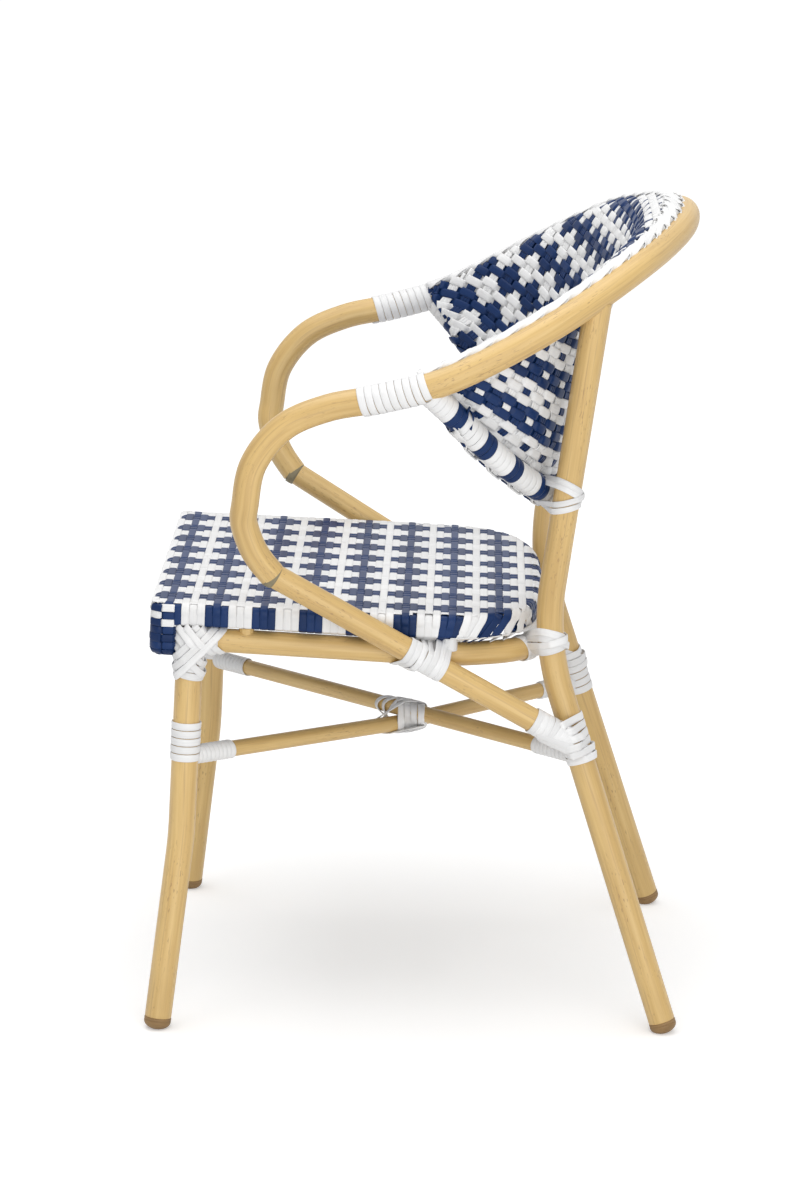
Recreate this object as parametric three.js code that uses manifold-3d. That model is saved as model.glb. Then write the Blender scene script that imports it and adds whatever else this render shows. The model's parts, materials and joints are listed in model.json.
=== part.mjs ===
// Rattan-look bistro armchair: a lashed frame of bent aluminium tube with a woven seat and back.
// Millimetres, +Z up. X runs across the chair, the chair faces -Y, and the chair is symmetric
// about X = 0 apart from its two crossing stretchers. Places are built with Y measured back from
// the front feet and Z up from the floor, and the whole group is moved at the end so that the
// origin lies on the floor under the middle of the chair.

import * as THREE from 'three';
import { mergeVertices } from 'three/addons/utils/BufferGeometryUtils.js';
import Module from 'manifold-3d';

const wasm = await Module();
wasm.setup();

// Fits
const clearance = 0.3;
const overrun = 20;
const copeInset = 4;

// Tube diameters
const legDiameter = 28;
const hoopDiameter = 28;
const railDiameter = 25;
const braceDiameter = 25;
const stretcherDiameter = 17;
const backRailDiameter = 27;
const seatFrameDiameter = 18;
const seatBarDiameter = 12;
const frontBarDiameter = 15;

// Front legs
const frontFootHalfTrack = 237.5;
const frontKneeHalfWidth = 215;
const frontKneeBack = 24;
const frontKneeHeight = 205;
const frontKneeRadius = 400;
const frontTopHalfWidth = 204;
const frontTopBack = 32;
const legTopRise = 9.5;

// Rear legs
const rearFootHalfTrack = 216.7;
const rearFootBack = 535;
const waistHalfWidth = 172;
const waistBack = 397.9;
const waistHeight = 413.5;
const waistRadius = 240;
const postTopBack = 441;

// Foot glides and the plugs in the tops of the front legs
const domeRadius = 14.2;
const domeDepth = 9;
const domeCentreHeight = 7.6;
const collarLength = 4.5;
const stubLength = 18;
const stubRadius = 11;
const plugHeadThickness = 2.5;

// Back hoop with its two arm loops
const hoopHalfWidth = 279;
const hoopBack = 540;
const hoopHeight = 836;
const armJointHalfWidth = 248;
const armJointBack = 118;
const armJointHeight = 494.8;
const spigotDiameter = 15;
const spigotLength = 14;
// Shares of half width, depth and height, from one arm loop up to the middle of the top.
const hoopShares = [
  [0.905, 0.195, 0.612],
  [0.916, 0.18, 0.63],
  [0.927, 0.165, 0.662],
  [0.939, 0.168, 0.682],
  [0.944, 0.183, 0.732],
  [0.952, 0.239, 0.779],
  [0.963, 0.319, 0.804],
  [0.98, 0.416, 0.818],
  [1, 0.528, 0.839],
  [0.993, 0.63, 0.87],
  [0.939, 0.733, 0.906],
  [0.832, 0.822, 0.939],
  [0.681, 0.895, 0.966],
  [0.484, 0.947, 0.982],
  [0.25, 0.987, 0.995],
  [0, 1, 1],
];

// Arm braces
const braceFootShare = 0.748;
const braceFootOutset = 19;

// Seat rail, a horseshoe of bent tube
const railHalfWidth = 199;
const railSideBack = 300;
const railSideRadius = 120;
const railCornerHalfWidth = 147;
const railBack = 405;
const railRadius = 118;
const railFall = 0.049;

// Cross stretchers, heights at the front and the rear leg
const lowStretcherFrontHeight = 290;
const lowStretcherRearHeight = 271;
const highStretcherFrontHeight = 284;
const highStretcherRearHeight = 292;
const stretcherBendRadius = 300;

// Lower back rail
const backRailHalfWidth = 265;
const backRailBack = 420;
const backRailDrop = 135;
const backRailHeight = 548;
const backRailJoinBack = 268;
// Shares of half width, depth and rise, from one end to the middle.
const backRailShares = [
  [0.981, 0.713, 0.875],
  [0.906, 0.788, 0.622],
  [0.796, 0.858, 0.393],
  [0.679, 0.921, 0.213],
  [0.49, 0.965, 0.083],
  [0.26, 0.99, 0.02],
  [0, 1, 0],
];

// Woven back and its laced border
const backWeaveThickness = 4;
const backWeaveBow = 27;
const backWeaveStart = 266;
const borderWidth = 18;
const borderThickness = 6;
const borderAngle = THREE.MathUtils.degToRad(38);

// Seat panel
const seatHalfWidth = 217;
const seatFront = -9;
const seatBack = 398;
const seatSideBack = 250;
const seatTopHeight = 455;
const seatWall = 3;
const seatFrameFit = 1;
const seatEdgeRadius = 8;
const seatCornerRadius = 14;
const seatLip = 14;
const seatFall = 0.03;
const apronDepth = 57;
const seatSpacing = 1.6;
const seatBarBacks = [120, 240];
const spacerDiameter = 16;
const spacerBacks = [90, 300];

// Strand windings: pitch is the advance in one turn, and the strand fills it up to strandGap
const strandThickness = 1.6;
const strandGap = 0.6;
const bendStrandGap = 1.2;
const windingPitch = 8;
const endWrapPitch = 5.4;
const armWrapBack = 207;
const armWrapTurns = 6;
const legBandHeight = 306;
const legBandTurns = 2.5;
const cornerLegHeight = 349;
const cornerLegTurns = 5.5;
const cornerRailBack = 55;
const cornerRailTurns = 2.5;
const endWrapStart = 22;
const endWrapTurns = 5;
const windingFacets = 12;

// Heights that follow from the seat's
const seatThickness = seatFrameDiameter + 2 * (clearance + seatWall);
const railHeight = seatTopHeight - seatThickness - seatSpacing - railDiameter / 2;
const frontTopHeight = railHeight - railFall * frontTopBack + legTopRise;
const braceFootHeight = braceFootShare * waistHeight;

// Facets
const tubeFacets = 14;
const thinTubeFacets = 12;
const glideFacets = 12;
const borderFacets = 6;
const backSheetRows = 6;
const ringSpacing = 22;
const bendSpacing = 18;
const outlineSpacing = 20;

// Finishes
const bamboo = new THREE.MeshStandardMaterial({ color: 0xd9b878, roughness: 0.45 });
const whiteStrand = new THREE.MeshStandardMaterial({ color: 0xf2f2ee, roughness: 0.5 });
const blueWhiteWeave = new THREE.MeshStandardMaterial({ color: 0x6f7fa8, roughness: 0.5 });
const brownPlastic = new THREE.MeshStandardMaterial({ color: 0x8a6434, roughness: 0.6 });
const bareAluminium = new THREE.MeshStandardMaterial({ color: 0xb8bbbf, metalness: 1, roughness: 0.4 });
const blackPlastic = new THREE.MeshStandardMaterial({ color: 0x202124, roughness: 0.6 });

const chair = new THREE.Group();

// Solids from meshes and meshes from solids

function toSolid(geometry) {
  const bare = geometry.clone();
  bare.deleteAttribute('normal');
  bare.deleteAttribute('uv');
  const welded = mergeVertices(bare);
  return new wasm.Manifold(new wasm.Mesh({
    numProp: 3,
    vertProperties: new Float32Array(welded.attributes.position.array),
    triVerts: new Uint32Array(welded.index.array),
  }));
}

function toGeometry(solid) {
  const mesh = solid.getMesh();
  const geometry = new THREE.BufferGeometry();
  geometry.setAttribute('position', new THREE.BufferAttribute(mesh.vertProperties, 3));
  geometry.setIndex(new THREE.BufferAttribute(mesh.triVerts, 1));
  geometry.computeVertexNormals();
  return geometry;
}

function add(name, solid, material) {
  const mesh = new THREE.Mesh(toGeometry(solid), material);
  mesh.name = name;
  chair.add(mesh);
}

// Several curves end to end, each divided into its own number of equal steps
class SteppedPath extends THREE.Curve {
  constructor() {
    super();
    this.parts = [];
    this.steps = 0;
  }

  add(curve, steps) {
    this.parts.push({ curve, steps, start: this.steps });
    this.steps += steps;
  }

  getPoint(t, target = new THREE.Vector3()) {
    const place = t * this.steps;
    const part = this.parts.findLast(({ start }) => start <= place) ?? this.parts[0];
    return target.copy(part.curve.getPoint((place - part.start) / part.steps));
  }

  getPointAt(t, target) {
    return this.getPoint(t, target);
  }

  getTangentAt(t, target) {
    return this.getTangent(t, target);
  }
}

// A straight run of points with its inner corners bent to the given radii
function bentPath(points, radii) {
  const path = new SteppedPath();
  let from = points[0];
  for (let i = 1; i < points.length - 1; i += 1) {
    const toPrevious = points[i - 1].clone().sub(points[i]).normalize();
    const toNext = points[i + 1].clone().sub(points[i]).normalize();
    const turn = Math.PI - toPrevious.angleTo(toNext);
    const tangent = radii[i - 1] * Math.tan(turn / 2);
    const start = points[i].clone().addScaledVector(toPrevious, tangent);
    const end = points[i].clone().addScaledVector(toNext, tangent);
    path.add(new THREE.LineCurve3(from, start), 1);
    const bend = new BendCurve(points[i], toPrevious, toNext, radii[i - 1]);
    path.add(bend, Math.ceil(radii[i - 1] * turn / bendSpacing));
    from = end;
  }
  path.add(new THREE.LineCurve3(from, points[points.length - 1]), 1);
  return path;
}

// The round bend at a corner, tangent to the two runs that meet there
class BendCurve extends THREE.Curve {
  constructor(corner, toPrevious, toNext, radius) {
    super();
    this.turn = Math.PI - toPrevious.angleTo(toNext);
    this.radius = radius;
    const middle = toPrevious.clone().add(toNext).normalize();
    this.centre = corner.clone().addScaledVector(middle, radius / Math.cos(this.turn / 2));
    this.start = corner.clone().addScaledVector(toPrevious, radius * Math.tan(this.turn / 2));
    this.outward = this.start.clone().sub(this.centre).normalize();
    this.along = toPrevious.clone().negate();
  }

  getPoint(t, target = new THREE.Vector3()) {
    const angle = t * this.turn;
    return target.copy(this.centre)
      .addScaledVector(this.outward, this.radius * Math.cos(angle))
      .addScaledVector(this.along, this.radius * Math.sin(angle));
  }
}

function tube(path, diameter, facets = tubeFacets) {
  const section = new THREE.Shape();
  section.absarc(0, 0, diameter / 2, 0, 2 * Math.PI);
  const geometry = new THREE.ExtrudeGeometry(section, {
    steps: path.steps ?? Math.round(path.getLength() / ringSpacing),
    curveSegments: facets / 2,
    bevelEnabled: false,
    extrudePath: path,
  });
  return toSolid(geometry);
}

function rod(from, to, diameter, facets = glideFacets) {
  const length = from.distanceTo(to);
  const geometry = new THREE.CylinderGeometry(diameter / 2, diameter / 2, length, facets);
  const along = to.clone().sub(from).normalize();
  geometry.applyQuaternion(new THREE.Quaternion().setFromUnitVectors(THREE.Object3D.DEFAULT_UP, along));
  const middle = from.clone().add(to).multiplyScalar(1 / 2);
  geometry.translate(middle.x, middle.y, middle.z);
  return toSolid(geometry);
}

// A closed body through rings of points, each ring with the same number of points
function ringBody(rings) {
  const count = rings[0].length;
  const points = rings.flat();
  const triangles = [];
  for (let i = 0; i < rings.length - 1; i += 1) {
    for (let j = 0; j < count; j += 1) {
      const a = i * count + j;
      const b = i * count + (j + 1) % count;
      triangles.push(a, b, b + count, a, b + count, a + count);
    }
  }
  const last = (rings.length - 1) * count;
  for (let j = 1; j < count - 1; j += 1) {
    triangles.push(0, j + 1, j, last, last + j, last + j + 1);
  }
  return closedBody(points, triangles);
}

// Points and triangles as a solid, turned inside out if the faces point inwards
function closedBody(points, triangles) {
  let volume = 0;
  for (let i = 0; i < triangles.length; i += 3) {
    const [a, b, c] = [points[triangles[i]], points[triangles[i + 1]], points[triangles[i + 2]]];
    volume += a.dot(b.clone().cross(c));
  }
  const facing = volume > 0 ? triangles : triangles.toReversed();
  const geometry = new THREE.BufferGeometry().setFromPoints(points);
  geometry.setIndex(facing);
  return toSolid(geometry);
}

// The same place on the left side (X above zero) or the right side of the chair
function place(side, halfWidth, back, height) {
  return new THREE.Vector3(side * halfWidth, back, height);
}

const sides = [['left', 1], ['right', -1]];

// Back hoop: the arm loops and the top of the back are one tube

function rearLegBelowWaist(side, height) {
  const share = height / waistHeight;
  const foot = place(side, rearFootHalfTrack, rearFootBack, 0);
  return foot.lerp(place(side, waistHalfWidth, waistBack, waistHeight), share);
}

function armJoint(side) {
  return place(side, armJointHalfWidth, armJointBack, armJointHeight);
}

function braceFoot(side) {
  const foot = rearLegBelowWaist(side, braceFootHeight);
  foot.x += side * braceFootOutset;
  return foot;
}

function braceDirection(side) {
  return armJoint(side).sub(braceFoot(side)).normalize();
}

function hoopPath() {
  const half = hoopShares.map(([across, back, up]) => [
    across * hoopHalfWidth, back * hoopBack, up * hoopHeight]);
  const left = half.map(([x, y, z]) => new THREE.Vector3(x, y, z));
  const right = half.slice(0, -1).reverse().map(([x, y, z]) => new THREE.Vector3(-x, y, z));
  const points = [armJoint(1), ...left, ...right, armJoint(-1)];
  return new THREE.CatmullRomCurve3(points, false, 'centripetal');
}

const hoop = hoopPath();

// Place along the hoop, as a share of its length, where its left half first lies that far back
function hoopShareAt(back) {
  const samples = hoop.getSpacedPoints(400);
  const front = samples.findIndex((point, i) => i > 0 && point.y > samples[i - 1].y);
  const index = samples.findIndex((point, i) => i > front && point.y > back);
  return index / (samples.length - 1);
}

// Directions at a place on the hoop: along it, towards the sitter's side, and across both
function hoopFrame(share) {
  const centre = hoop.getPointAt(share);
  const along = hoop.getTangentAt(share);
  const inward = new THREE.Vector3(0, 0, 1).cross(along).normalize();
  if (inward.dot(new THREE.Vector3(-centre.x, seatBack / 2 - centre.y, 0)) < 0) inward.negate();
  const upward = inward.clone().cross(along).normalize();
  if (upward.z < 0) upward.negate();
  return { centre, along, inward, upward };
}

function hoopSolid(growth = 0) {
  return tube(hoop, hoopDiameter + 2 * growth);
}

function spigotBore(side) {
  const mouth = armJoint(side).addScaledVector(braceDirection(side), -overrun);
  const end = armJoint(side).addScaledVector(braceDirection(side), spigotLength + clearance);
  return rod(mouth, end, spigotDiameter + 2 * clearance, tubeFacets);
}

const hoopCutter = hoopSolid(clearance);

// Feet: a glide with a collar, a rounded end cut flat on the floor and a stub inside the leg

function legRun(side, foot) {
  return foot === 'front'
    ? [place(side, frontFootHalfTrack, 0, 0), place(side, frontKneeHalfWidth, frontKneeBack, frontKneeHeight)]
    : [place(side, rearFootHalfTrack, rearFootBack, 0), place(side, waistHalfWidth, waistBack, waistHeight)];
}

function footPlaces(side, foot) {
  const [floor, above] = legRun(side, foot);
  const along = above.clone().sub(floor).normalize();
  const dome = floor.clone().addScaledVector(along, domeCentreHeight / along.z);
  const tubeEnd = dome.clone().addScaledVector(along, collarLength + clearance);
  return { along, dome, tubeEnd };
}

function glide(side, foot) {
  const { along, dome } = footPlaces(side, foot);
  const profile = [];
  for (let i = 0; i <= glideFacets / 4; i += 1) {
    const angle = (i / (glideFacets / 4)) * (Math.PI / 2);
    profile.push(new THREE.Vector2(domeRadius * Math.sin(angle), -domeDepth * Math.cos(angle)));
  }
  profile.push(
    new THREE.Vector2(domeRadius, collarLength),
    new THREE.Vector2(stubRadius, collarLength),
    new THREE.Vector2(stubRadius, collarLength + stubLength),
    new THREE.Vector2(0, collarLength + stubLength),
  );
  profile[0].x = 0;
  const geometry = new THREE.LatheGeometry(profile, glideFacets);
  geometry.applyQuaternion(new THREE.Quaternion().setFromUnitVectors(THREE.Object3D.DEFAULT_UP, along));
  geometry.translate(dome.x, dome.y, dome.z);
  const below = new THREE.BoxGeometry(4 * domeRadius, 4 * domeRadius, overrun);
  below.translate(dome.x, dome.y, -overrun / 2);
  return toSolid(geometry).subtract(toSolid(below));
}

function stubBore(side, foot) {
  const { along, tubeEnd } = footPlaces(side, foot);
  const mouth = tubeEnd.clone().addScaledVector(along, -overrun);
  const end = tubeEnd.clone().addScaledVector(along, stubLength + clearance);
  return rod(mouth, end, 2 * (stubRadius + clearance));
}

// Front legs

function frontLegTop(side) {
  return place(side, frontTopHalfWidth, frontTopBack, frontTopHeight);
}

function frontLegPath(side) {
  const knee = place(side, frontKneeHalfWidth, frontKneeBack, frontKneeHeight);
  return bentPath([footPlaces(side, 'front').tubeEnd, knee, frontLegTop(side)], [frontKneeRadius]);
}

function frontLegUpward(side) {
  const knee = place(side, frontKneeHalfWidth, frontKneeBack, frontKneeHeight);
  return frontLegTop(side).sub(knee).normalize();
}

function frontLeg(side) {
  const top = frontLegTop(side);
  const upward = frontLegUpward(side);
  const plugBore = rod(
    top.clone().addScaledVector(upward, -stubLength - clearance),
    top.clone().addScaledVector(upward, overrun),
    2 * (stubRadius + clearance));
  return tube(frontLegPath(side), legDiameter).subtract(stubBore(side, 'front')).subtract(plugBore);
}

function topPlug(side) {
  const upward = frontLegUpward(side);
  const seat = frontLegTop(side).addScaledVector(upward, clearance);
  const head = rod(seat, seat.clone().addScaledVector(upward, plugHeadThickness), legDiameter - 2 * clearance);
  const stub = rod(
    seat.clone().addScaledVector(upward, -stubLength),
    seat.clone().addScaledVector(upward, plugHeadThickness / 2), 2 * stubRadius);
  return head.add(stub);
}

// Rear legs: from the floor, bent at the waist, up to a saddle under the hoop

const postTopShare = hoopShareAt(postTopBack);

function rearLegPath(side) {
  const waist = place(side, waistHalfWidth, waistBack, waistHeight);
  const seat = hoop.getPointAt(side > 0 ? postTopShare : 1 - postTopShare);
  const top = seat.clone().addScaledVector(waist.clone().sub(seat).normalize(), copeInset);
  return bentPath([footPlaces(side, 'rear').tubeEnd, waist, top], [waistRadius]);
}

function rearLegTube(side, growth = 0) {
  return tube(rearLegPath(side), legDiameter + 2 * growth);
}

function rearLeg(side) {
  return rearLegTube(side).subtract(hoopCutter).subtract(stubBore(side, 'rear'));
}

// Both legs of a side with clearance all round, the front one from its knee to above its plug
const legCutters = sides.map(([, side]) => {
  const knee = place(side, frontKneeHalfWidth, frontKneeBack, frontKneeHeight);
  const above = frontLegTop(side).addScaledVector(frontLegUpward(side), overrun);
  const acrossCorners = (legDiameter + 2 * clearance) / Math.cos(Math.PI / glideFacets);
  return rod(knee, above, acrossCorners).add(rearLegTube(side, clearance));
});

function cutByLegs(solid) {
  return largestPiece(legCutters.reduce((left, cutter) => left.subtract(cutter), solid));
}

// Seat rail

function railPlace(halfWidth, back) {
  return new THREE.Vector3(halfWidth, back, railHeight - railFall * back);
}

function railPath() {
  const front = (side) => railPlace(side * frontTopHalfWidth, frontTopBack + copeInset);
  return bentPath([
    front(1),
    railPlace(railHalfWidth, railSideBack),
    railPlace(railCornerHalfWidth, railBack),
    railPlace(-railCornerHalfWidth, railBack),
    railPlace(-railHalfWidth, railSideBack),
    front(-1),
  ], [railSideRadius, railRadius, railRadius, railSideRadius]);
}

const rail = railPath();
const railCutter = tube(rail, railDiameter + 2 * clearance);

// Arm braces: a spigot in the hoop's open end, past the seat rail, to a saddle on the rear leg

// Everything past the hoop's end face, to cut the brace square to the hoop
function beyondHoopEnd(side) {
  const joint = armJoint(side);
  const into = side > 0 ? hoop.getTangentAt(0) : hoop.getTangentAt(1).negate();
  return rod(
    joint.clone().addScaledVector(into, -clearance), joint.clone().addScaledVector(into, overrun),
    2 * hoopDiameter, tubeFacets);
}

function brace(side) {
  const along = braceDirection(side);
  const joint = armJoint(side);
  const spigot = rod(
    joint.clone().addScaledVector(along, -overrun),
    joint.clone().addScaledVector(along, spigotLength), spigotDiameter, tubeFacets);
  const bar = rod(
    braceFoot(side), joint.addScaledVector(along, braceDiameter / 4), braceDiameter, tubeFacets);
  return cutByLegs(bar.subtract(beyondHoopEnd(side)).add(spigot).subtract(railCutter));
}

// Cross stretchers: each from a front leg to the opposite rear leg, the high one over the low one

function frontLegAt(side, height) {
  const share = (height - frontKneeHeight) / (frontTopHeight - frontKneeHeight);
  const knee = place(side, frontKneeHalfWidth, frontKneeBack, frontKneeHeight);
  return knee.lerp(frontLegTop(side), share);
}

function stretcherEnds(side, frontHeight, rearHeight) {
  const front = frontLegAt(side, frontHeight);
  const rear = rearLegBelowWaist(-side, rearHeight);
  const along = rear.clone().sub(front).normalize();
  return [front.addScaledVector(along, copeInset), rear.addScaledVector(along, -copeInset)];
}

function highStretcherPath() {
  const [front, rear] = stretcherEnds(-1, highStretcherFrontHeight, highStretcherRearHeight);
  const path = new SteppedPath();
  path.add(new THREE.LineCurve3(front, rear), 1);
  return path;
}

// The low stretcher dips in the middle to pass under the high one
function lowStretcherPath() {
  const [highFront, highRear] = stretcherEnds(-1, highStretcherFrontHeight, highStretcherRearHeight);
  const [front, rear] = stretcherEnds(1, lowStretcherFrontHeight, lowStretcherRearHeight);
  const middle = highFront.clone().lerp(highRear, highFront.x / (highFront.x - highRear.x));
  middle.z -= stretcherDiameter + clearance;
  return bentPath([front, middle, rear], [stretcherBendRadius]);
}

function stretcher(path) {
  return cutByLegs(tube(path, stretcherDiameter, thinTubeFacets));
}

// Lower back rail: a wrapped tube from arm to arm, in front of the rear legs

function backRailPath() {
  const half = backRailShares.map(([across, back, up]) => new THREE.Vector3(
    across * backRailHalfWidth, back * backRailBack, backRailHeight + up * backRailDrop));
  const join = hoop.getPointAt(hoopShareAt(backRailJoinBack));
  const left = [join, ...half];
  const right = left.slice(0, -1).reverse().map((point) => new THREE.Vector3(-point.x, point.y, point.z));
  return new THREE.CatmullRomCurve3([...left, ...right], false, 'centripetal');
}

const backRail = backRailPath();

function backRailSolid() {
  return cutByLegs(tube(backRail, backRailDiameter, thinTubeFacets)).subtract(hoopCutter);
}

// Woven back: a thin sheet from the hoop's inner side down to the lower back rail

function backWeave() {
  const start = hoopShareAt(backWeaveStart);
  const across = Math.round(hoop.getLength() * (1 - 2 * start) / (2 * ringSpacing));
  const railStart = (backRailDiameter + hoopDiameter) / backRail.getLength();
  const half = backWeaveThickness / 2;
  const rings = [];
  for (let i = 0; i <= across; i += 1) {
    const share = start + (1 - 2 * start) * (i / across);
    const { centre, inward } = hoopFrame(share);
    const top = centre.clone().addScaledVector(inward, hoopDiameter / 2 + clearance + half);
    const low = backRail.getPointAt(railStart + (1 - 2 * railStart) * (i / across));
    const alongRail = backRail.getTangentAt(railStart + (1 - 2 * railStart) * (i / across));
    const down = low.clone().sub(top).normalize();
    const normal = down.clone().cross(alongRail).normalize();
    if (normal.dot(inward) < 0) normal.negate();
    const inner = [];
    const outer = [];
    for (let j = 0; j <= backSheetRows; j += 1) {
      const bow = Math.sin(Math.PI * Math.sqrt(j / backSheetRows)) * Math.sin(Math.PI * i / across);
      const point = top.clone().lerp(low, j / backSheetRows).addScaledVector(normal, bow * backWeaveBow);
      inner.push(point.clone().addScaledVector(normal, half));
      outer.unshift(point.clone().addScaledVector(normal, -half));
    }
    rings.push([...inner, ...outer]);
  }
  const railSpace = tube(backRail, backRailDiameter + 2 * clearance, thinTubeFacets);
  return largestPiece(stripBody(rings).subtract(railSpace).subtract(hoopCutter));
}

function largestPiece(solid) {
  return solid.decompose().reduce((largest, piece) => (
    piece.volume() > largest.volume() ? piece : largest));
}

// A closed body whose end rings are thin strips: the ends are closed rung by rung
function stripBody(rings) {
  const count = rings[0].length;
  const triangles = [];
  for (let i = 0; i < rings.length - 1; i += 1) {
    for (let j = 0; j < count; j += 1) {
      const a = i * count + j;
      const b = i * count + (j + 1) % count;
      triangles.push(a, b, b + count, a, b + count, a + count);
    }
  }
  const last = (rings.length - 1) * count;
  for (let j = 0; j < count / 2 - 1; j += 1) {
    const k = count - 1 - j;
    triangles.push(j, k, j + 1, j + 1, k, k - 1);
    triangles.push(last + j, last + j + 1, last + k, last + j + 1, last + k - 1, last + k);
  }
  return closedBody(rings.flat(), triangles);
}

// Laced border: a flat band along the hoop's inner top side
function backBorder() {
  const start = hoopShareAt(backWeaveStart);
  const steps = Math.round(hoop.getLength() * (1 - 2 * start) / ringSpacing);
  const reach = hoopDiameter / 2 + clearance + borderThickness / 2;
  const rings = [];
  for (let i = 0; i <= steps; i += 1) {
    const { centre, inward, upward } = hoopFrame(start + (1 - 2 * start) * (i / steps));
    const outward = inward.clone().multiplyScalar(Math.cos(borderAngle))
      .addScaledVector(upward, Math.sin(borderAngle));
    const sideways = inward.clone().multiplyScalar(-Math.sin(borderAngle))
      .addScaledVector(upward, Math.cos(borderAngle));
    const ring = [];
    for (let j = 0; j < borderFacets; j += 1) {
      const angle = (j / borderFacets) * 2 * Math.PI;
      ring.push(centre.clone()
        .addScaledVector(outward, reach + (borderThickness / 2) * Math.cos(angle))
        .addScaledVector(sideways, (borderWidth / 2) * Math.sin(angle)));
    }
    rings.push(ring);
  }
  return ringBody(rings);
}

// Seat panel: built level with its top at zero, then tilted and lifted into place

function seatOutline(inset, spacing = outlineSpacing) {
  const halfWidth = seatHalfWidth - inset;
  const front = seatFront + inset;
  const corner = Math.max(seatCornerRadius - inset, clearance);
  const depth = seatBack - inset - seatSideBack;
  const outline = new THREE.Path();
  outline.moveTo(0, front);
  outline.lineTo(halfWidth - corner, front);
  outline.absarc(halfWidth - corner, front + corner, corner, -Math.PI / 2, 0, false);
  outline.lineTo(halfWidth, seatSideBack);
  outline.absellipse(0, seatSideBack, halfWidth, depth, 0, Math.PI, false, 0);
  outline.lineTo(-halfWidth, front + corner);
  outline.absarc(-halfWidth + corner, front + corner, corner, Math.PI, 1.5 * Math.PI, false);
  outline.lineTo(0, front);
  const count = Math.round(2 * (2 * seatHalfWidth + seatBack) / spacing);
  return outline.getSpacedPoints(count).slice(0, -1);
}

function levelRing(inset, height) {
  return seatOutline(inset).map((point) => new THREE.Vector3(point.x, point.y, height));
}

function seatOuter() {
  const rings = [
    levelRing(seatEdgeRadius / 2, -seatThickness),
    levelRing(0, -seatThickness + seatEdgeRadius / 2),
    levelRing(0, -seatEdgeRadius),
  ];
  for (const turn of [1 / 3, 2 / 3, 1]) {
    const angle = turn * Math.PI / 2;
    rings.push(levelRing(seatEdgeRadius * (1 - Math.cos(angle)), -seatEdgeRadius * (1 - Math.sin(angle))));
  }
  return ringBody(rings);
}

function seatHollow() {
  return ringBody([
    levelRing(seatLip, -seatThickness - overrun),
    levelRing(seatLip, -seatThickness + seatWall),
    levelRing(seatWall, -seatThickness + seatWall),
    levelRing(seatWall, -seatWall - seatEdgeRadius / 2),
    levelRing(seatWall + seatEdgeRadius / 2, -seatWall),
  ]);
}

// The deeper roll along the front edge, drawn as its section and extruded across the chair
function apron(inset, backwards) {
  const front = seatFront + inset;
  const back = seatFront + apronThickness - inset + backwards;
  const bottom = -apronDepth + inset;
  const round = (apronThickness - 2 * inset) / 2;
  const section = new THREE.Shape();
  section.moveTo(front, -seatEdgeRadius - inset);
  section.lineTo(front, bottom + round);
  section.absarc(front + round, bottom + round, round, Math.PI, 1.5 * Math.PI, false);
  section.lineTo(back, bottom);
  section.lineTo(back, -seatEdgeRadius - inset);
  section.closePath();
  const width = 2 * (seatHalfWidth - seatEdgeRadius / 2 - inset);
  const geometry = new THREE.ExtrudeGeometry(section, {
    depth: width, bevelEnabled: false, curveSegments: 4 });
  geometry.rotateX(Math.PI / 2);
  geometry.rotateZ(Math.PI / 2);
  geometry.translate(-width / 2, 0, 0);
  return geometry;
}

const apronThickness = frontBarDiameter + 2 * (clearance + seatWall);

function seatCover() {
  const roll = toSolid(apron(0, 0));
  const rollHollow = toSolid(apron(seatWall, 0));
  return seatOuter().add(roll).subtract(seatHollow()).subtract(rollHollow);
}

const frameInset = seatWall + seatFrameFit + seatFrameDiameter / 2;
const frameDrop = seatThickness / 2;

function seatFrame() {
  const halfWidth = seatHalfWidth - frameInset;
  const front = seatFront + frameInset + copeInset;
  const depth = seatBack - frameInset - seatSideBack;
  const path = new SteppedPath();
  const corner = (across, back) => new THREE.Vector3(across, back, -frameDrop);
  path.add(new THREE.LineCurve3(corner(halfWidth, front), corner(halfWidth, seatSideBack)), 1);
  path.add(new RearSweep(halfWidth, depth), Math.ceil(Math.PI * halfWidth / ringSpacing));
  path.add(new THREE.LineCurve3(corner(-halfWidth, seatSideBack), corner(-halfWidth, front)), 1);
  return tube(path, seatFrameDiameter, thinTubeFacets).subtract(seatFrontTube(clearance));
}

// The half ellipse round the back of the seat
class RearSweep extends THREE.Curve {
  constructor(halfWidth, depth) {
    super();
    this.halfWidth = halfWidth;
    this.depth = depth;
  }

  getPoint(t, target = new THREE.Vector3()) {
    const angle = t * Math.PI;
    return target.set(
      this.halfWidth * Math.cos(angle), seatSideBack + this.depth * Math.sin(angle), -frameDrop);
  }
}

function seatFrontTube(growth = 0) {
  const halfWidth = seatHalfWidth - frameInset - seatFrameDiameter / 2;
  const reach = halfWidth + (growth > 0 ? overrun : 0);
  const back = seatFront + frameInset;
  return rod(
    new THREE.Vector3(-reach, back, -frameDrop), new THREE.Vector3(reach, back, -frameDrop),
    seatFrameDiameter + 2 * growth, thinTubeFacets);
}

function seatCrossBar(back) {
  const halfWidth = seatHalfWidth - frameInset - copeInset;
  const drop = seatWall + clearance + seatBarDiameter / 2;
  const bar = rod(
    new THREE.Vector3(-halfWidth, back, -drop), new THREE.Vector3(halfWidth, back, -drop),
    seatBarDiameter, thinTubeFacets);
  return sides.reduce((left, [, side]) => left.subtract(rod(
    new THREE.Vector3(side * (seatHalfWidth - frameInset), seatFront, -frameDrop),
    new THREE.Vector3(side * (seatHalfWidth - frameInset), seatSideBack, -frameDrop),
    seatFrameDiameter + 2 * clearance, thinTubeFacets)), bar);
}

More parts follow.
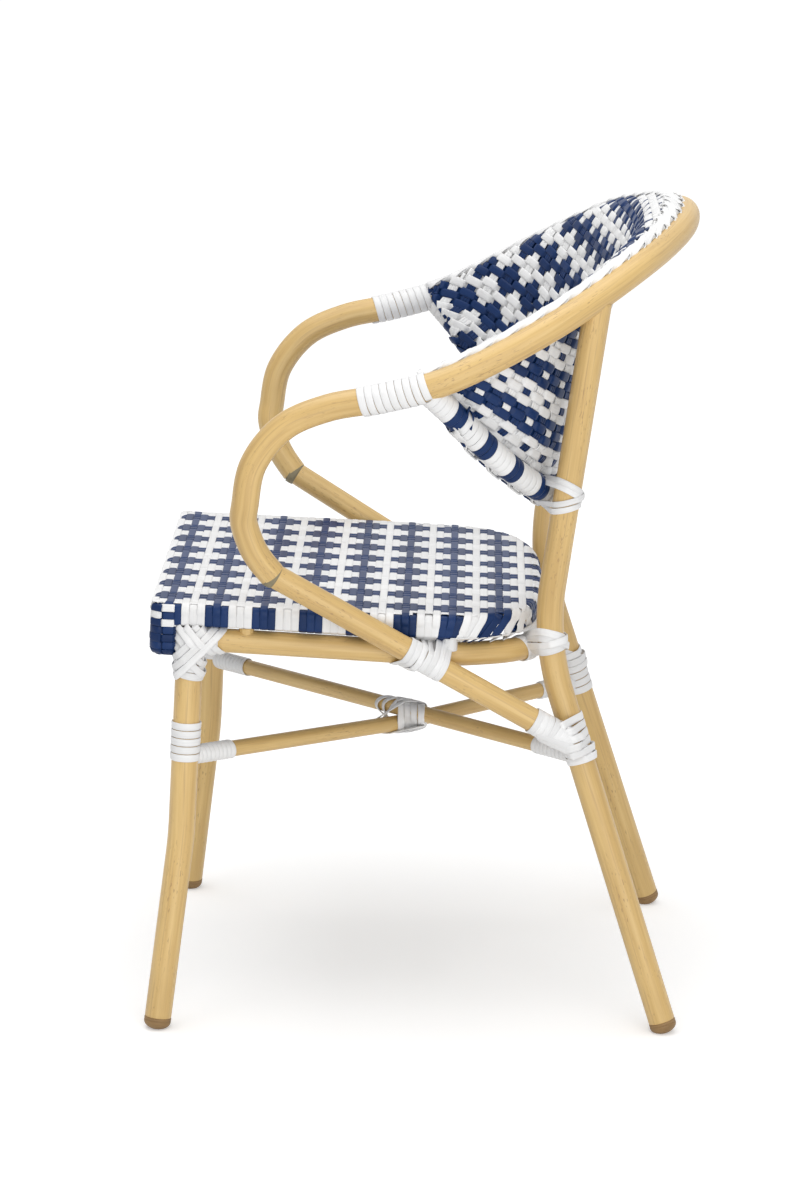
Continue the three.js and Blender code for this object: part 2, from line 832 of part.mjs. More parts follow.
function frontRollBar() {
  const reach = seatHalfWidth - seatEdgeRadius / 2 - seatWall - clearance;
  const back = seatFront + apronThickness / 2;
  const height = -apronDepth + apronThickness / 2;
  return rod(
    new THREE.Vector3(-reach, back, height), new THREE.Vector3(reach, back, height),
    frontBarDiameter, thinTubeFacets);
}

const seatTilt = -Math.atan(seatFall);
const seatGroup = new THREE.Group();
seatGroup.rotation.x = seatTilt;
seatGroup.position.z = seatTopHeight;
chair.add(seatGroup);

function addToSeat(name, solid, material) {
  const mesh = new THREE.Mesh(toGeometry(solid), material);
  mesh.name = name;
  seatGroup.add(mesh);
}

// Spacers between the seat rail and the seat panel
function spacer(side, back) {
  const seatUnderside = seatTopHeight - seatFall * back - seatThickness;
  const railTop = railHeight - railFall * back + railDiameter / 2;
  const across = side * (seatHalfWidth - frameInset);
  return rod(
    new THREE.Vector3(across, back, railTop - railDiameter / 4),
    new THREE.Vector3(across, back, seatUnderside - clearance), spacerDiameter)
    .subtract(railCutter);
}

// Windings. A section gives the place and the direction along the bar inside the winding.

// Where a winding stands at one of the steps of its turn round a bar
function turnStep({ along, centre, radius }, step) {
  const across = new THREE.Vector3(0, 0, 1).cross(along).normalize();
  const up = along.clone().cross(across);
  const angle = (step / windingFacets) * 2 * Math.PI;
  const outward = across.multiplyScalar(Math.cos(angle)).addScaledVector(up, Math.sin(angle));
  const reach = (radius + clearance) / Math.cos(Math.PI / windingFacets) + strandThickness / 2;
  return { along, outward, centre: centre.clone().addScaledVector(outward, reach) };
}

// One unbroken flat strand, which prints its least gap to itself
function winding(name, sectionAt, turns, pitch, gap = strandGap) {
  const rings = [];
  const halfWidth = (pitch - gap) / 2;
  const halfThickness = strandThickness / 2;
  for (let i = 0; i <= turns * windingFacets; i += 1) {
    const section = sectionAt(pitch * (i / windingFacets));
    const { along, outward, centre } = turnStep(section, i % windingFacets);
    const corner = (x, y) => centre.clone()
      .addScaledVector(along, x * halfWidth)
      .addScaledVector(outward, y * halfThickness);
    rings.push([corner(-1, -1), corner(1, -1), corner(1, 1), corner(-1, 1)]);
  }
  let least = Infinity;
  for (let i = 0; i < rings.length; i += 1) {
    for (let j = i + windingFacets / 2; j < rings.length; j += 1) {
      for (const a of rings[i]) {
        for (const b of rings[j]) least = Math.min(least, a.distanceTo(b));
      }
    }
  }
  console.log(`${name}: least gap to itself ${least.toFixed(2)} mm`);
  return ringBody(rings);
}

// The left one of a pair, or its mirror image
function onSide(side, solid) {
  return side > 0 ? solid : solid.scale([-1, 1, 1]);
}

// A section on a straight bar, s millimetres on from a place on its axis
function straightSection(from, along, radius) {
  return (s) => ({ along, centre: from.clone().addScaledVector(along, s), radius });
}

function armWrap() {
  const start = hoopShareAt(armWrapBack);
  return winding('arm_wrap', (s) => {
    return { ...hoopFrame(start + s / hoop.getLength()), radius: hoopDiameter / 2 };
  }, armWrapTurns, windingPitch, bendStrandGap);
}

function legBand(name, height, turns) {
  const section = straightSection(frontLegAt(1, height), frontLegUpward(1), legDiameter / 2);
  return winding(name, section, turns, windingPitch);
}

function cornerRailWrap() {
  const start = (cornerRailBack - frontTopBack - copeInset) / rail.getLength();
  const from = railPlace(THREE.MathUtils.lerp(frontTopHalfWidth, railHalfWidth, start), cornerRailBack);
  const along = railPlace(railHalfWidth, railSideBack)
    .sub(railPlace(frontTopHalfWidth, frontTopBack + copeInset)).normalize();
  return winding('corner_rail_wrap', straightSection(from, along, railDiameter / 2),
    cornerRailTurns, windingPitch);
}

// On a straight end of a stretcher, a little way from the leg
function endWrap(name, path, atFront) {
  const share = 1 / path.steps;
  const end = path.getPoint(atFront ? 0 : 1);
  const along = path.getPoint(atFront ? share : 1 - share).sub(end).normalize();
  const from = end.addScaledVector(along, endWrapStart);
  return winding(name, straightSection(from, along, stretcherDiameter / 2), endWrapTurns, endWrapPitch);
}

// The whole chair

add('back_hoop', hoopSolid().subtract(spigotBore(1)).subtract(spigotBore(-1)), bamboo);
for (const [name, side] of sides) {
  add(`front_leg_${name}`, frontLeg(side), bamboo);
  add(`rear_leg_${name}`, rearLeg(side), bamboo);
  add(`arm_brace_${name}`, brace(side), bamboo);
  add(`front_glide_${name}`, glide(side, 'front'), brownPlastic);
  add(`rear_glide_${name}`, glide(side, 'rear'), brownPlastic);
  add(`leg_plug_${name}`, topPlug(side), blackPlastic);
}
add('seat_rail', cutByLegs(tube(rail, railDiameter)), bamboo);
add('low_stretcher', stretcher(lowStretcherPath()), bamboo);
add('high_stretcher', stretcher(highStretcherPath()), bamboo);
add('lower_back_rail', backRailSolid(), blueWhiteWeave);
add('back_weave', backWeave(), blueWhiteWeave);
add('back_border', backBorder(), whiteStrand);
addToSeat('seat_cover', seatCover(), blueWhiteWeave);
addToSeat('seat_frame', seatFrame(), bareAluminium);
addToSeat('seat_front_tube', seatFrontTube(), bareAluminium);
addToSeat('front_roll_bar', frontRollBar(), bareAluminium);
seatBarBacks.forEach((back, i) => addToSeat(`seat_cross_bar_${i + 1}`, seatCrossBar(back), bareAluminium));
spacerBacks.forEach((back, i) => {
  for (const [name, side] of sides) add(`seat_spacer_${i + 1}_${name}`, spacer(side, back), blackPlastic);
});

for (const [name, side] of sides) {
  add(`arm_wrap_${name}`, onSide(side, armWrap()), whiteStrand);
  add(`leg_band_${name}`, onSide(side, legBand('leg_band', legBandHeight, legBandTurns)), whiteStrand);
  add(`corner_leg_wrap_${name}`,
    onSide(side, legBand('corner_leg_wrap', cornerLegHeight, cornerLegTurns)), whiteStrand);
  add(`corner_rail_wrap_${name}`, onSide(side, cornerRailWrap()), whiteStrand);
}
for (const [name, path] of [['low', lowStretcherPath()], ['high', highStretcherPath()]]) {
  add(`${name}_stretcher_wrap_front`, endWrap(`${name}_stretcher_wrap_front`, path, true), whiteStrand);
  add(`${name}_stretcher_wrap_rear`, endWrap(`${name}_stretcher_wrap_rear`, path, false), whiteStrand);
}

// Origin on the floor, midway between the frontmost and the rearmost point
const extent = new THREE.Box3().setFromObject(chair);
const origin = new THREE.Group();
origin.position.y = -(extent.min.y + extent.max.y) / 2;
origin.add(chair);

export default origin;
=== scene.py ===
# Looks of the rattan-look bistro armchair, built round its CAD frame.
# Places are in millimetres, with Y measured back from the front feet and Z up from the floor,
# as in the CAD source, and to_scene() turns them into the frame's metres.

import json
import math
import bpy
import numpy as np
from mathutils import Matrix


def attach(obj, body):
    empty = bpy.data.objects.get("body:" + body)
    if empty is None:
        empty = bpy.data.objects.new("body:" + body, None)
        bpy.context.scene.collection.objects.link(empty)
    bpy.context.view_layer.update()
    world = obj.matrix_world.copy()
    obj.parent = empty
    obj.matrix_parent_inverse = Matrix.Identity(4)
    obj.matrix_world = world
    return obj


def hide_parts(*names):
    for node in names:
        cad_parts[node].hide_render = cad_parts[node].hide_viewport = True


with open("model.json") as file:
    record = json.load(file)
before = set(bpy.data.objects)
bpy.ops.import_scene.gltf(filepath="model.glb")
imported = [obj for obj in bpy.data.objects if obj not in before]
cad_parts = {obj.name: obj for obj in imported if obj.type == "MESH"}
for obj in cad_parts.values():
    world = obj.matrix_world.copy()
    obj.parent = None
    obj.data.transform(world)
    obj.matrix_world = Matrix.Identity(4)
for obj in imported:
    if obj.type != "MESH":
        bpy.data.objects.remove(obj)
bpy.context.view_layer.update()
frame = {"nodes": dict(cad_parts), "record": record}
rng = np.random.default_rng(7)


def vec(*values):
    return np.array(values, float)


MM = 0.001
ORIGIN_BACK = 270.312
UP = vec(0, 0, 1)
SIDES = (("left", 1), ("right", -1))

# Camera
CAMERA_AZIMUTH = 90.924
CAMERA_ELEVATION = 14.0
CAMERA_ROLL = 0.948
CAMERA_TARGET = vec(0.0, 244.6, 409.0)
CAMERA_DISTANCE = 4243.9
CAMERA_LENS = 117.5
CAMERA_SENSOR = 36.0
CAMERA_FAR = 100.0

# Lamps as place, size and power, and the light of the room and the paper floor, in metres
KEY_LAMP = (0.15, -0.2, 2.6), 2.3, 35
FILL_LAMP = (2.3, 0.5, 0.9), 2.2, 27
LAMP_AIM = (0, 0, 0.45)
LAMP_SIDE = vec(0, 1, 0.01)
ROOM_LIGHT = 0.49
FLOOR_SIZE = 30.0
FLOOR_GREY = 0.9
GLOW_START = 0.3
GLOW_END = 2.5
GLOW_NEAR = 0.30
GLOW_FAR = 0.62

# Tubes
LEG_RADIUS = 14.0
HOOP_RADIUS = 14.0
RAIL_RADIUS = 12.5
BRACE_RADIUS = 12.5
STRETCHER_RADIUS = 8.5
BACK_RAIL_RADIUS = 13.5
COPE = 4.0
LEG_FOOT_ROUND = 0.8
TUBE_END_ROUND = 1.0
HOOP_END_ROUND = 1.2

FRONT_FOOT = vec(237.5, 0.0, 0.0)
FRONT_KNEE = vec(215.0, 24.0, 205.0)
FRONT_KNEE_RADIUS = 400.0
FRONT_TOP = vec(204.0, 32.0, 424.2)
REAR_FOOT = vec(216.7, 535.0, 0.0)
WAIST = vec(172.0, 397.9, 413.5)
WAIST_RADIUS = 240.0
POST_TOP_BACK = 441.0
HOOP_HALF_WIDTH = 279.0
HOOP_BACK = 540.0
HOOP_HEIGHT = 836.0
ARM_JOINT = vec(248.0, 118.0, 494.8)
HOOP_SHARES = [
    (0.905, 0.195, 0.612), (0.916, 0.18, 0.63), (0.927, 0.165, 0.662), (0.939, 0.168, 0.682),
    (0.944, 0.183, 0.732), (0.952, 0.239, 0.779), (0.963, 0.319, 0.804), (0.98, 0.416, 0.818),
    (1.0, 0.528, 0.839), (0.993, 0.63, 0.87), (0.939, 0.733, 0.906), (0.832, 0.822, 0.939),
    (0.681, 0.895, 0.966), (0.484, 0.947, 0.982), (0.25, 0.987, 0.995), (0.0, 1.0, 1.0),
]
BRACE_FOOT_SHARE = 0.748
BRACE_FOOT_OUTSET = 19.0
RAIL_HEIGHT = 416.3
RAIL_FALL = 0.049
RAIL_CORNERS = [(204.0, 36.0), (199.0, 300.0), (147.0, 405.0)]
RAIL_RADII = (120.0, 118.0)
LOW_STRETCHER_HEIGHTS = (290.0, 271.0)
HIGH_STRETCHER_HEIGHTS = (284.0, 292.0)
STRETCHER_BEND = 300.0
STRETCHER_PASS = 17.3
BACK_RAIL_HALF_WIDTH = 265.0
BACK_RAIL_BACK = 420.0
BACK_RAIL_DROP = 135.0
BACK_RAIL_HEIGHT = 548.0
BACK_RAIL_JOIN_BACK = 268.0
BACK_RAIL_SHARES = [
    (0.981, 0.713, 0.875), (0.906, 0.788, 0.622), (0.796, 0.858, 0.393), (0.679, 0.921, 0.213),
    (0.49, 0.965, 0.083), (0.26, 0.99, 0.02), (0.0, 1.0, 0.0),
]

# Feet, and the open end of the hoop where the brace is pushed in, as radii and heights
DOME_RADIUS = 14.2
DOME_DEPTH = 9.0
DOME_HEIGHT = 7.6
DOME_START = 0.12
COLLAR_LENGTH = 4.5
COLLAR_GROOVE = (0.6, 1.0, 1.5, 1.9)
GROOVE_DEPTH = 0.5
COLLAR_ROUND = 0.6
GLIDE_NECK = 3.0
FLOOR_GAP = 0.3
SLEEVE_PROFILE = [(12.4, -5.0), (13.0, -4.6), (13.5, -3.0), (13.8, 0.0), (13.6, 4.0)]

# Seat panel, and its rim, which is the line where the flat top starts to round off
SEAT_HALF_WIDTH = 217.0
SEAT_FRONT = -9.0
SEAT_BACK = 398.0
SEAT_SIDE_BACK = 250.0
SEAT_TOP = 455.0
SEAT_THICKNESS = 24.6
SEAT_EDGE = 8.0
SEAT_CORNER = 14.0
SEAT_FALL = 0.03
SEAT_SQUARENESS = 3.3
APRON_DEPTH = 57.0
APRON_THICKNESS = 21.6
APRON_BACK = SEAT_FRONT + APRON_THICKNESS
RIM_HALF_WIDTH = SEAT_HALF_WIDTH - SEAT_EDGE
RIM_FRONT = SEAT_FRONT + SEAT_EDGE
RIM_BACK = SEAT_BACK - SEAT_EDGE
RIM_CORNER = SEAT_CORNER - SEAT_EDGE
# Under the rim the strands slope down to the seat rail, which falls faster than the seat
TUCK_RUN = 9.0
TUCK_DROP = 0.9
TUCK_FALL = RAIL_FALL - SEAT_FALL

# Weave: single strands cross groups of three, and both change colour in threes or by the group
STRAND_WIDTH = 7.9
STRAND_THICKNESS = 1.5
STRAND_PITCH = 8.083
COLOUR_PERIOD = 6
COLOUR_RUN = 3
GROUP_PITCH = 26.0
GROUP_STRANDS = (-1, 0, 1)
GROUP_SPACING = GROUP_PITCH / len(GROUP_STRANDS)
GROUP_STRAND_GAP = 0.25
LAST_GROUP = 8
BLUE_CENTRE_BACK = 11.5
WEAVE_SINK = 1.6
SINGLE_RISE = 1.4
GROUP_RISE = 1.0
SINGLE_OVERHANG = 3.6
SINGLE_TURN = 4.0
GROUP_OVERHANG = 0.6
GROUP_TURN = 5.0
STRAND_STEP = 1.3
SINGLE_STEP = 1.6

# Where the strands cross the rim: how they slant and widen there, and which end above it
RIM_TOP = 4.0
RIM_MARGIN = 2.0
RIM_START = 0.4
RIM_LEVEL = 0.05
OUT_OF_REACH = 1000.0
LEVEL_RISE = 0.2
UNDER_RISE = -1.2
SINGLES_WRAP_TO = math.radians(70)
GROUPS_WRAP_TO = math.radians(62)
CORNER_OVERLAP = 0.1
SLANT_MOST = math.radians(40)
WIDEN_LEAST = 1.05
WIDEN_MOST = 1.9
WIDEN_RUN = 8.0
STEEPEST = 0.1
MIDDLE_STRAND = 1.5
SIDE_ROW_INSET = 3.0
SIDE_ROW_RUN = 12.0

# Front roll: where the two strands down its ends leave the rim, with their widths, and its bands
DEEP_COLUMNS = {0: (9.9, 11.6), -1: (1.6, 13.5)}
DEEP_COLUMN_JOINTS = (16.0, 4.4, -0.7)
ROLL_BANDS = 8
ROLL_WHITE_BANDS = 3
BAND_START = 1.2
BAND_END_RUN = 3.0
BAND_PIVOT = 60.0
HEM_START = 300.0
HEM_TRAVEL = 29.6
HEM_WIDTH = 4.6
HEM_THICKNESS = 1.4
HEM_LIFT = 0.1

# Woven back, and the border laced round its top edge
BACK_PITCH = 9.35
BACK_FIRST = 22.7
BACK_LOWEST_ROW = -4
BACK_LOWEST_SHARE = 0.4
BACK_GROUP_PITCH = 19.4
BACK_STRAND_SPACING = 3.6
BACK_GROUP_LEAN = 0.00058
BACK_SINGLE_RISE = 1.9
BACK_SINGLE_TURN = 0.42
BACK_SINGLE_OVERLAP = 0.3
BACK_SINGLE_THICKNESS = 2.2
BACK_SINGLE_STEP = 0.9
BACK_GROUP_RISE = 0.9
BACK_GROUP_OVERLAP = 0.1
BACK_SHEET_BOW = 27.0
BACK_SHEET_START = 266.0
SHEET_FROM_HOOP = 2.3
SHEET_FROM_RAIL = BACK_RAIL_RADIUS + 1.5
SHEET_INSET = 2 * (BACK_RAIL_RADIUS + HOOP_RADIUS)
SHEET_UNDER_BORDER = 2.0
SHEET_BLEND = 0.3
RAIL_BLEND = 60.0
BACK_ACROSS = 400
BACK_DOWN = 40
ROW_PLACES = 321
LEVEL_STEP = 2.0
TOP_MARGIN = 0.01
ROW_MARGIN = 0.001
BORDER_OUTER = vec(4.0, 13.2)
BORDER_INNER_RISE = 14.8
BORDER_SIDE_REACH = 14.0
BORDER_REAR_REACH = 24.0
BORDER_REAR_SPREAD = 150.0
BORDER_THICKNESS = 6.0
BORDER_CORE_STEP = 4.0
BORDER_CORE_SIDES = 16
BORDER_STARTS = 4
LACING = {"pitch": 118.0, "width": 8.2, "thickness": 1.4, "steps": 64}

# Windings
ARM_WRAP = {"turns": 8.8, "pitch": 8.0, "width": 7.7, "thickness": 1.7, "lean": 0.03}
ARM_WRAP_BACK = 207.0
ARM_WRAP_LEAD = 5.0
STRETCHER_WRAP = {"turns": 8.6, "pitch": 5.6, "width": 5.8, "lean": 0.1}
STRETCHER_WRAP_START = 13.0
BACK_RAIL_WRAP = {"pitch": 8.0, "width": 7.9, "lean": 0.06}
BACK_RAIL_WHITE_TURNS = 4
BACK_RAIL_BLUE_TURNS = 2
BACK_RAIL_SHIFT = 5.0
WRAP_THICKNESS = 1.6

# Lashings. A span gives the start and end of a piece of a tube that the loops can go round.
LASH_WIDTH = 7.8
LASH_THICKNESS = 1.6
LASH_LIFT = 0.55
LASH_REACH = 90.0
LASH_LEAN = 0.05
LOOP_SLICE = 0.9
LOOP_STEP = 1.4
LOOP_LEAST = 24
LOOP_LAYERS = 7

LEG_BAND_ROWS = (323.5, 315.2, 306.9, 298.6, 290.3)
LEG_BAND_SPAN_START = 200

CORNER_SPAN_START = 300
CORNER_RAIL_SPAN = (0, 75)
CORNER_TOP_RISE = 2.6
CORNER_RAIL_POINT = 5
CORNER_LOW_ROWS = (378.5, 386.7)
CORNER_LOW_SLOPE = -13
CORNER_ROWS = (394, 402, 410, 418, 425.5)
CORNER_RAIL_ROWS = (42, 50, 57)
CORNER_JOINT = vec(204, 31.8, 414.6)
# The slope of each crossed loop and its distance from the joint
CORNER_CROSSES = ((-48, 14), (-48, 6.5), (-48, -15), (45, 1.5), (-48, -1), (45, 9), (-48, -8), (45, 16.5))
CORNER_CROSS_WIDTH = 7.5

BRACE_SPAN = (110, 260)
BRACE_RAIL_SPAN = (180, 330)
BRACE_RAIL_ROWS = (289, 281.5, 274)
BRACE_RAIL_HALF_WIDTH = 199.7
BRACE_RAIL_POINT = 60
BRACE_SLANT_PLACE = 185
BRACE_SLANT = vec(0, 0.1, 0.75)
BRACE_TURNS = (165.5, 172, 178.5, 185, 191.5, 198, 204.5)
BRACE_TURN_WIDTH = 6.8

FAN_LEG_SPAN = (225, 420)
FAN_BRACE_SPAN = (0, 44)
FAN_FOOT_SPAN = (0, 60)
FAN_ROWS = (330.5, 322.3, 314.1, 305.9, 297.7, 289.5)
FAN_ROW_WIDTH = 8.2
FAN_ROW_REACH = 33
FAN_DROPS = {"left": 0.0, "right": 24.0}
FAN_LONG_LOOPS = (9.0, 3.0)
FAN_LONG_PLACE = 12
FAN_LONG_TILT = 0.16
FAN_LONG_REACH = 42
# Turns round the brace's foot: distance along it, and lean towards its upper side
FAN_TURNS = ((50, 0.0), (43.4, 0.0), (36.8, 0.0), (30.2, 0.06), (24, 0.16), (18.5, 0.28), (13, 0.36))
FAN_TURN_WIDTH = 7.2
FAN_TURN_REACH = 30

# Crossed loops: height, and rise towards the sitter's left and backwards. Then rows on the rail.
POST_SPAN = (370, 480)
POST_RAIL_SPAN = (366, 392)
POST_RAIL_ROW_SPAN = (320, 410)
POST_PLACE = (190, 404)
POST_LOOPS = ((423.5, 0.4, -0.21), (404.9, 0.0, 0.3), (416.6, 0.35, -0.21), (412.3, 0.1, 0.3))
POST_REACH = 80
POST_RAIL_ROWS = ((352, 0.3), (361, 0.15))
POST_RAIL_WAY = 356
POST_RAIL_REACH = 30

HIGH_POST_SPAN = (540, 640)
HIGH_POST_RAIL_SPAN = (208, 228)
HIGH_POST_RAIL_ROW_SPAN = (180, 260)
HIGH_POST_PLACE = (211, 417)
HIGH_POST_LOOPS = ((586, 0.35, -0.5), (560, 0.0, 0.25), (580, 0.3, -0.5), (567.5, 0.0, 0.28))
HIGH_POST_WIDTH = 6.5
HIGH_POST_RAIL_ROWS = (213, 220)
HIGH_POST_RAIL_REACH = 40

CROSSING_SPAN = (-45, 60)
CROSSING_BACKS = (1, 8, 15, 23)
CROSSING_SIDES = (-12, -5, 5, 12)
CROSSING_REACH = 60

# Fineness of curves and rings
CURVE_SPACING = 3.0
CURVE_STEPS = 24
STRETCHER_SPACING = 6.0
HOOP_STEP = 1.5
BRACE_SPACING = 4.0
TUBE_SIDES = 36
CORE_SIDES = 24
TURNED_SIDES = 40
DOME_RINGS = 12
ROUND_RINGS = 5
STRIP_SIDES = 12
CLOUD_SIDES = 72
NEARLY_UPRIGHT = 0.9
TINY = 1e-4
CORNER_POINTS = 24
REAR_POINTS = 400
RIM_SPACING = 1.0
WIND_STEPS = 40
LEAST_PLACES = 12
LEAST_ROW = 5
LEAST_STRAND = 8
GRAIN_SHIFT = 500
STRIP_CROWN = 0.8
STRIP_FLATNESS = 0.55
DOMED_FLATNESS = 0.8

# Bamboo coating: colours with their places on the noise, and the noise's scales along the grain
BAMBOO_BASE = ((0.3, (0.60, 0.40, 0.145)), (0.52, (0.67, 0.465, 0.185)), (0.75, (0.72, 0.52, 0.225)))
BAMBOO_BANDS = ((0.3, (0.90, 0.87, 0.82)), (0.6, (1.0, 1.0, 1.0)))
BAMBOO_CLOUDS = ((0.35, (0.93, 0.91, 0.88)), (0.65, (1.03, 1.02, 1.0)))
BAMBOO_STREAK = (0.44, 0.27, 0.11)
STREAK_STOPS = ((0.57, 0.0), (0.74, 0.6))
BAMBOO_FLECK = (0.36, 0.21, 0.085)
FLECK_STOPS = ((0.62, 0.0), (0.70, 1.0))
PATCH_STOPS = ((0.46, 0.0), (0.6, 0.7))
STRAND_STOPS = ((0.3, 0.93), (0.7, 1.0))
FINE_GRAIN = (260, 260, 9)
BAND_GRAIN = (70, 70, 3.5)
CLOUD_SCALE = (7, 7, 7)
STREAK_GRAIN = (480, 480, 11)
FLECK_GRAIN = (750, 750, 150)
PATCH_GRAIN = (45, 45, 16)
STRAND_GRAIN = (1500, 10, 12)
PLASTIC_SCALE = (60, 60, 60)


# Small vector helpers

def unit(v):
    v = np.asarray(v, float)
    return v / np.linalg.norm(v, axis=-1, keepdims=True)


def on_side(side, points):
    return np.asarray(points, float) * vec(side, 1, 1)


def to_scene(points):
    return (np.asarray(points, float) - vec(0, ORIGIN_BACK, 0)) * MM


def turned_to(vectors, guide):
    """The vectors, flipped where they point away from the guide."""
    return vectors * np.where((vectors * guide).sum(-1) < 0, -1, 1)[..., None]


def square_to(vectors, along):
    """The vectors without their share along a direction, at unit length."""
    return unit(vectors - (vectors * along).sum(-1, keepdims=True) * along)


def off_axis(direction):
    """Up, or along X for a direction that is nearly upright itself."""
    return UP if abs(direction[2]) < NEARLY_UPRIGHT else vec(1, 0, 0)


def circle(sides):
    return np.linspace(0, 2 * math.pi, sides, endpoint=False)


def spokes(first, second, angle):
    """Directions at some angles round each axis whose two cross directions are given."""
    turn = angle[:, None]
    return first[..., None, :] * np.cos(turn) + second[..., None, :] * np.sin(turn)


# Curves as rows of points

def lengths_along(points):
    steps = np.linalg.norm(np.diff(points, axis=0), axis=1)
    return np.concatenate([[0], np.cumsum(steps)])


def between(distance, ladder, rows):
    """Rows of values read off at distances along their ladder."""
    return np.stack([np.interp(distance, ladder, column) for column in rows.T], axis=-1)


def point_at(points, distance):
    return between(distance, lengths_along(points), points)


def way_at(points, distance, step):
    return unit(point_at(points, distance + step) - point_at(points, distance - step))


def part_of(points, start, end, spacing):
    count = max(2, int(round((end - start) / spacing)) + 1)
    return point_at(points, np.linspace(start, end, count))


def resampled(points, spacing):
    return part_of(points, 0, lengths_along(points)[-1], spacing)


def smooth_curve(controls):
    """A centripetal Catmull-Rom curve through the controls, evenly spaced."""
    p = np.asarray(controls, float)
    p = np.vstack([2 * p[0] - p[1], p, 2 * p[-1] - p[-2]])
    t = np.linspace(0, 1, CURVE_STEPS, endpoint=False)[:, None]
    out = []
    for a, b, c, d in zip(p[:-3], p[1:-2], p[2:-1], p[3:]):
        t0, t1, t2 = (max(np.linalg.norm(v), TINY) ** 0.5 for v in (b - a, c - b, d - c))
        leave = ((b - a) / t0 - (c - a) / (t0 + t1) + (c - b) / t1) * t1
        arrive = ((c - b) / t1 - (d - b) / (t1 + t2) + (d - c) / t2) * t1
        out.append(b + leave * t + (3 * (c - b) - 2 * leave - arrive) * t ** 2
                   + (2 * (b - c) + leave + arrive) * t ** 3)
    return resampled(np.vstack([*out, p[-2:-1]]), CURVE_SPACING)


def bent_curve(corners, radii):
    """A row of straight runs with its inner corners bent to the given radii."""
    out = [corners[0][None]]
    for before, corner, after, radius in zip(corners, corners[1:], corners[2:], radii):
        back, on = unit(before - corner), unit(after - corner)
        turn = math.pi - math.acos(np.clip(back @ on, -1, 1))
        tangent = radius * math.tan(turn / 2)
        centre = corner + unit(back + on) * radius / math.cos(turn / 2)
        outward = unit(corner + back * tangent - centre)
        angle = np.linspace(0, turn, max(3, int(radius * turn / CURVE_SPACING)))[:, None]
        out.append(centre + outward * radius * np.cos(angle) - back * radius * np.sin(angle))
    out.append(corners[-1][None])
    return resampled(np.vstack(out), CURVE_SPACING)


def tangents(points):
    return unit(np.gradient(points, axis=0))


def carried_normals(points):
    """One sideways direction at each point, turning no more than the curve makes it."""
    along = tangents(points)
    normals = [square_to(off_axis(along[0]), along[0])]
    for direction in along[1:]:
        normals.append(square_to(normals[-1], direction))
    return np.array(normals)


def both_sides(left):
    """A row of points that ends in the middle, carried on over the other side."""
    return left + [on_side(-1, point) for point in left[:-1][::-1]]


# Meshes

def linked(name, data):
    item = bpy.data.objects.new(name, data)
    bpy.context.scene.collection.objects.link(item)
    return item


class Pile:
    """Vertices and faces of one piece, with a grain place and a tone for its material."""

    def __init__(self):
        self.vertices, self.faces, self.grain, self.tone = [], [], [], []
        self.count = 0

    def add(self, vertices, faces, grain, tone=0.5):
        vertices = np.asarray(vertices, float).reshape(-1, 3)
        self.vertices.append(vertices)
        self.faces.extend(tuple(int(k) + self.count for k in face) for face in faces)
        self.grain.append(np.asarray(grain, float).reshape(-1, 3))
        self.tone.append(np.full(len(vertices), tone))
        self.count += len(vertices)

    def mirrored(self):
        other = Pile()
        other.vertices = [on_side(-1, vertices) for vertices in self.vertices]
        other.faces = [face[::-1] for face in self.faces]
        other.grain, other.tone, other.count = self.grain, self.tone, self.count
        return other

    def build(self, name, material, slot, *nodes):
        mesh = bpy.data.meshes.new(name)
        mesh.from_pydata(to_scene(np.vstack(self.vertices)).tolist(), [], self.faces)
        grain = mesh.attributes.new("grain", "FLOAT_VECTOR", "POINT")
        grain.data.foreach_set("vector", (np.vstack(self.grain) * MM).ravel())
        tone = mesh.attributes.new("tone", "FLOAT", "POINT")
        tone.data.foreach_set("value", np.concatenate(self.tone))
        mesh.shade_smooth()
        mesh.materials.append(material)
        piece = linked(name, mesh)
        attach(piece, "root")
        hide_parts(*nodes)


def ring_faces(rings, count, closed=False):
    faces = []
    for i in range(rings if closed else rings - 1):
        a, b = i * count, ((i + 1) % rings) * count
        for j in range(count):
            k = (j + 1) % count
            faces.append((a + j, a + k, b + k, b + j))
    if not closed:
        faces.append(tuple(range(count - 1, -1, -1)))
        faces.append(tuple((rings - 1) * count + j for j in range(count)))
    return faces


def round_off(points, radii, rounding):
    """The tube's points and radii with the first rings drawn in over a small length."""
    turn = np.linspace(math.pi / 2, 0, ROUND_RINGS)
    kept = lengths_along(points) > rounding
    extra = point_at(points, rounding - rounding * np.sin(turn))
    drawn_in = radii[0] - rounding * (1 - np.cos(turn))
    return np.vstack([extra, points[kept]]), np.concatenate([drawn_in, radii[kept]])


def add_tube(pile, points, radius, sides=TUBE_SIDES, round_start=0.0, round_end=0.0):
    radii = np.full(len(points), float(radius))
    if round_start:
        points, radii = round_off(points, radii, round_start)
    if round_end:
        points, radii = (rows[::-1] for rows in round_off(points[::-1], radii[::-1], round_end))
    normals = carried_normals(points)
    angle = circle(sides)
    ring = spokes(normals, np.cross(tangents(points), normals), angle)
    grain = np.zeros_like(ring)
    grain[..., 0] = radius * np.cos(angle)
    grain[..., 1] = radius * np.sin(angle)
    grain[..., 2] = lengths_along(points)[:, None]
    pile.add(points[:, None] + ring * radii[:, None, None], ring_faces(len(points), sides), grain)


def turned(base, along, guide, profile):
    """Rings of a turned piece, given its profile's radii and heights along its axis."""
    across = unit(np.cross(along, guide))
    ring = spokes(across, np.cross(along, across), circle(TURNED_SIDES))
    return np.array([base + along * height + ring * radius for radius, height in profile])


def strip_section(flatness):
    return np.array([(math.copysign(abs(math.cos(a)) ** flatness, math.cos(a)),
                      math.copysign(abs(math.sin(a)) ** STRIP_CROWN, math.sin(a)))
                     for a in circle(STRIP_SIDES)])


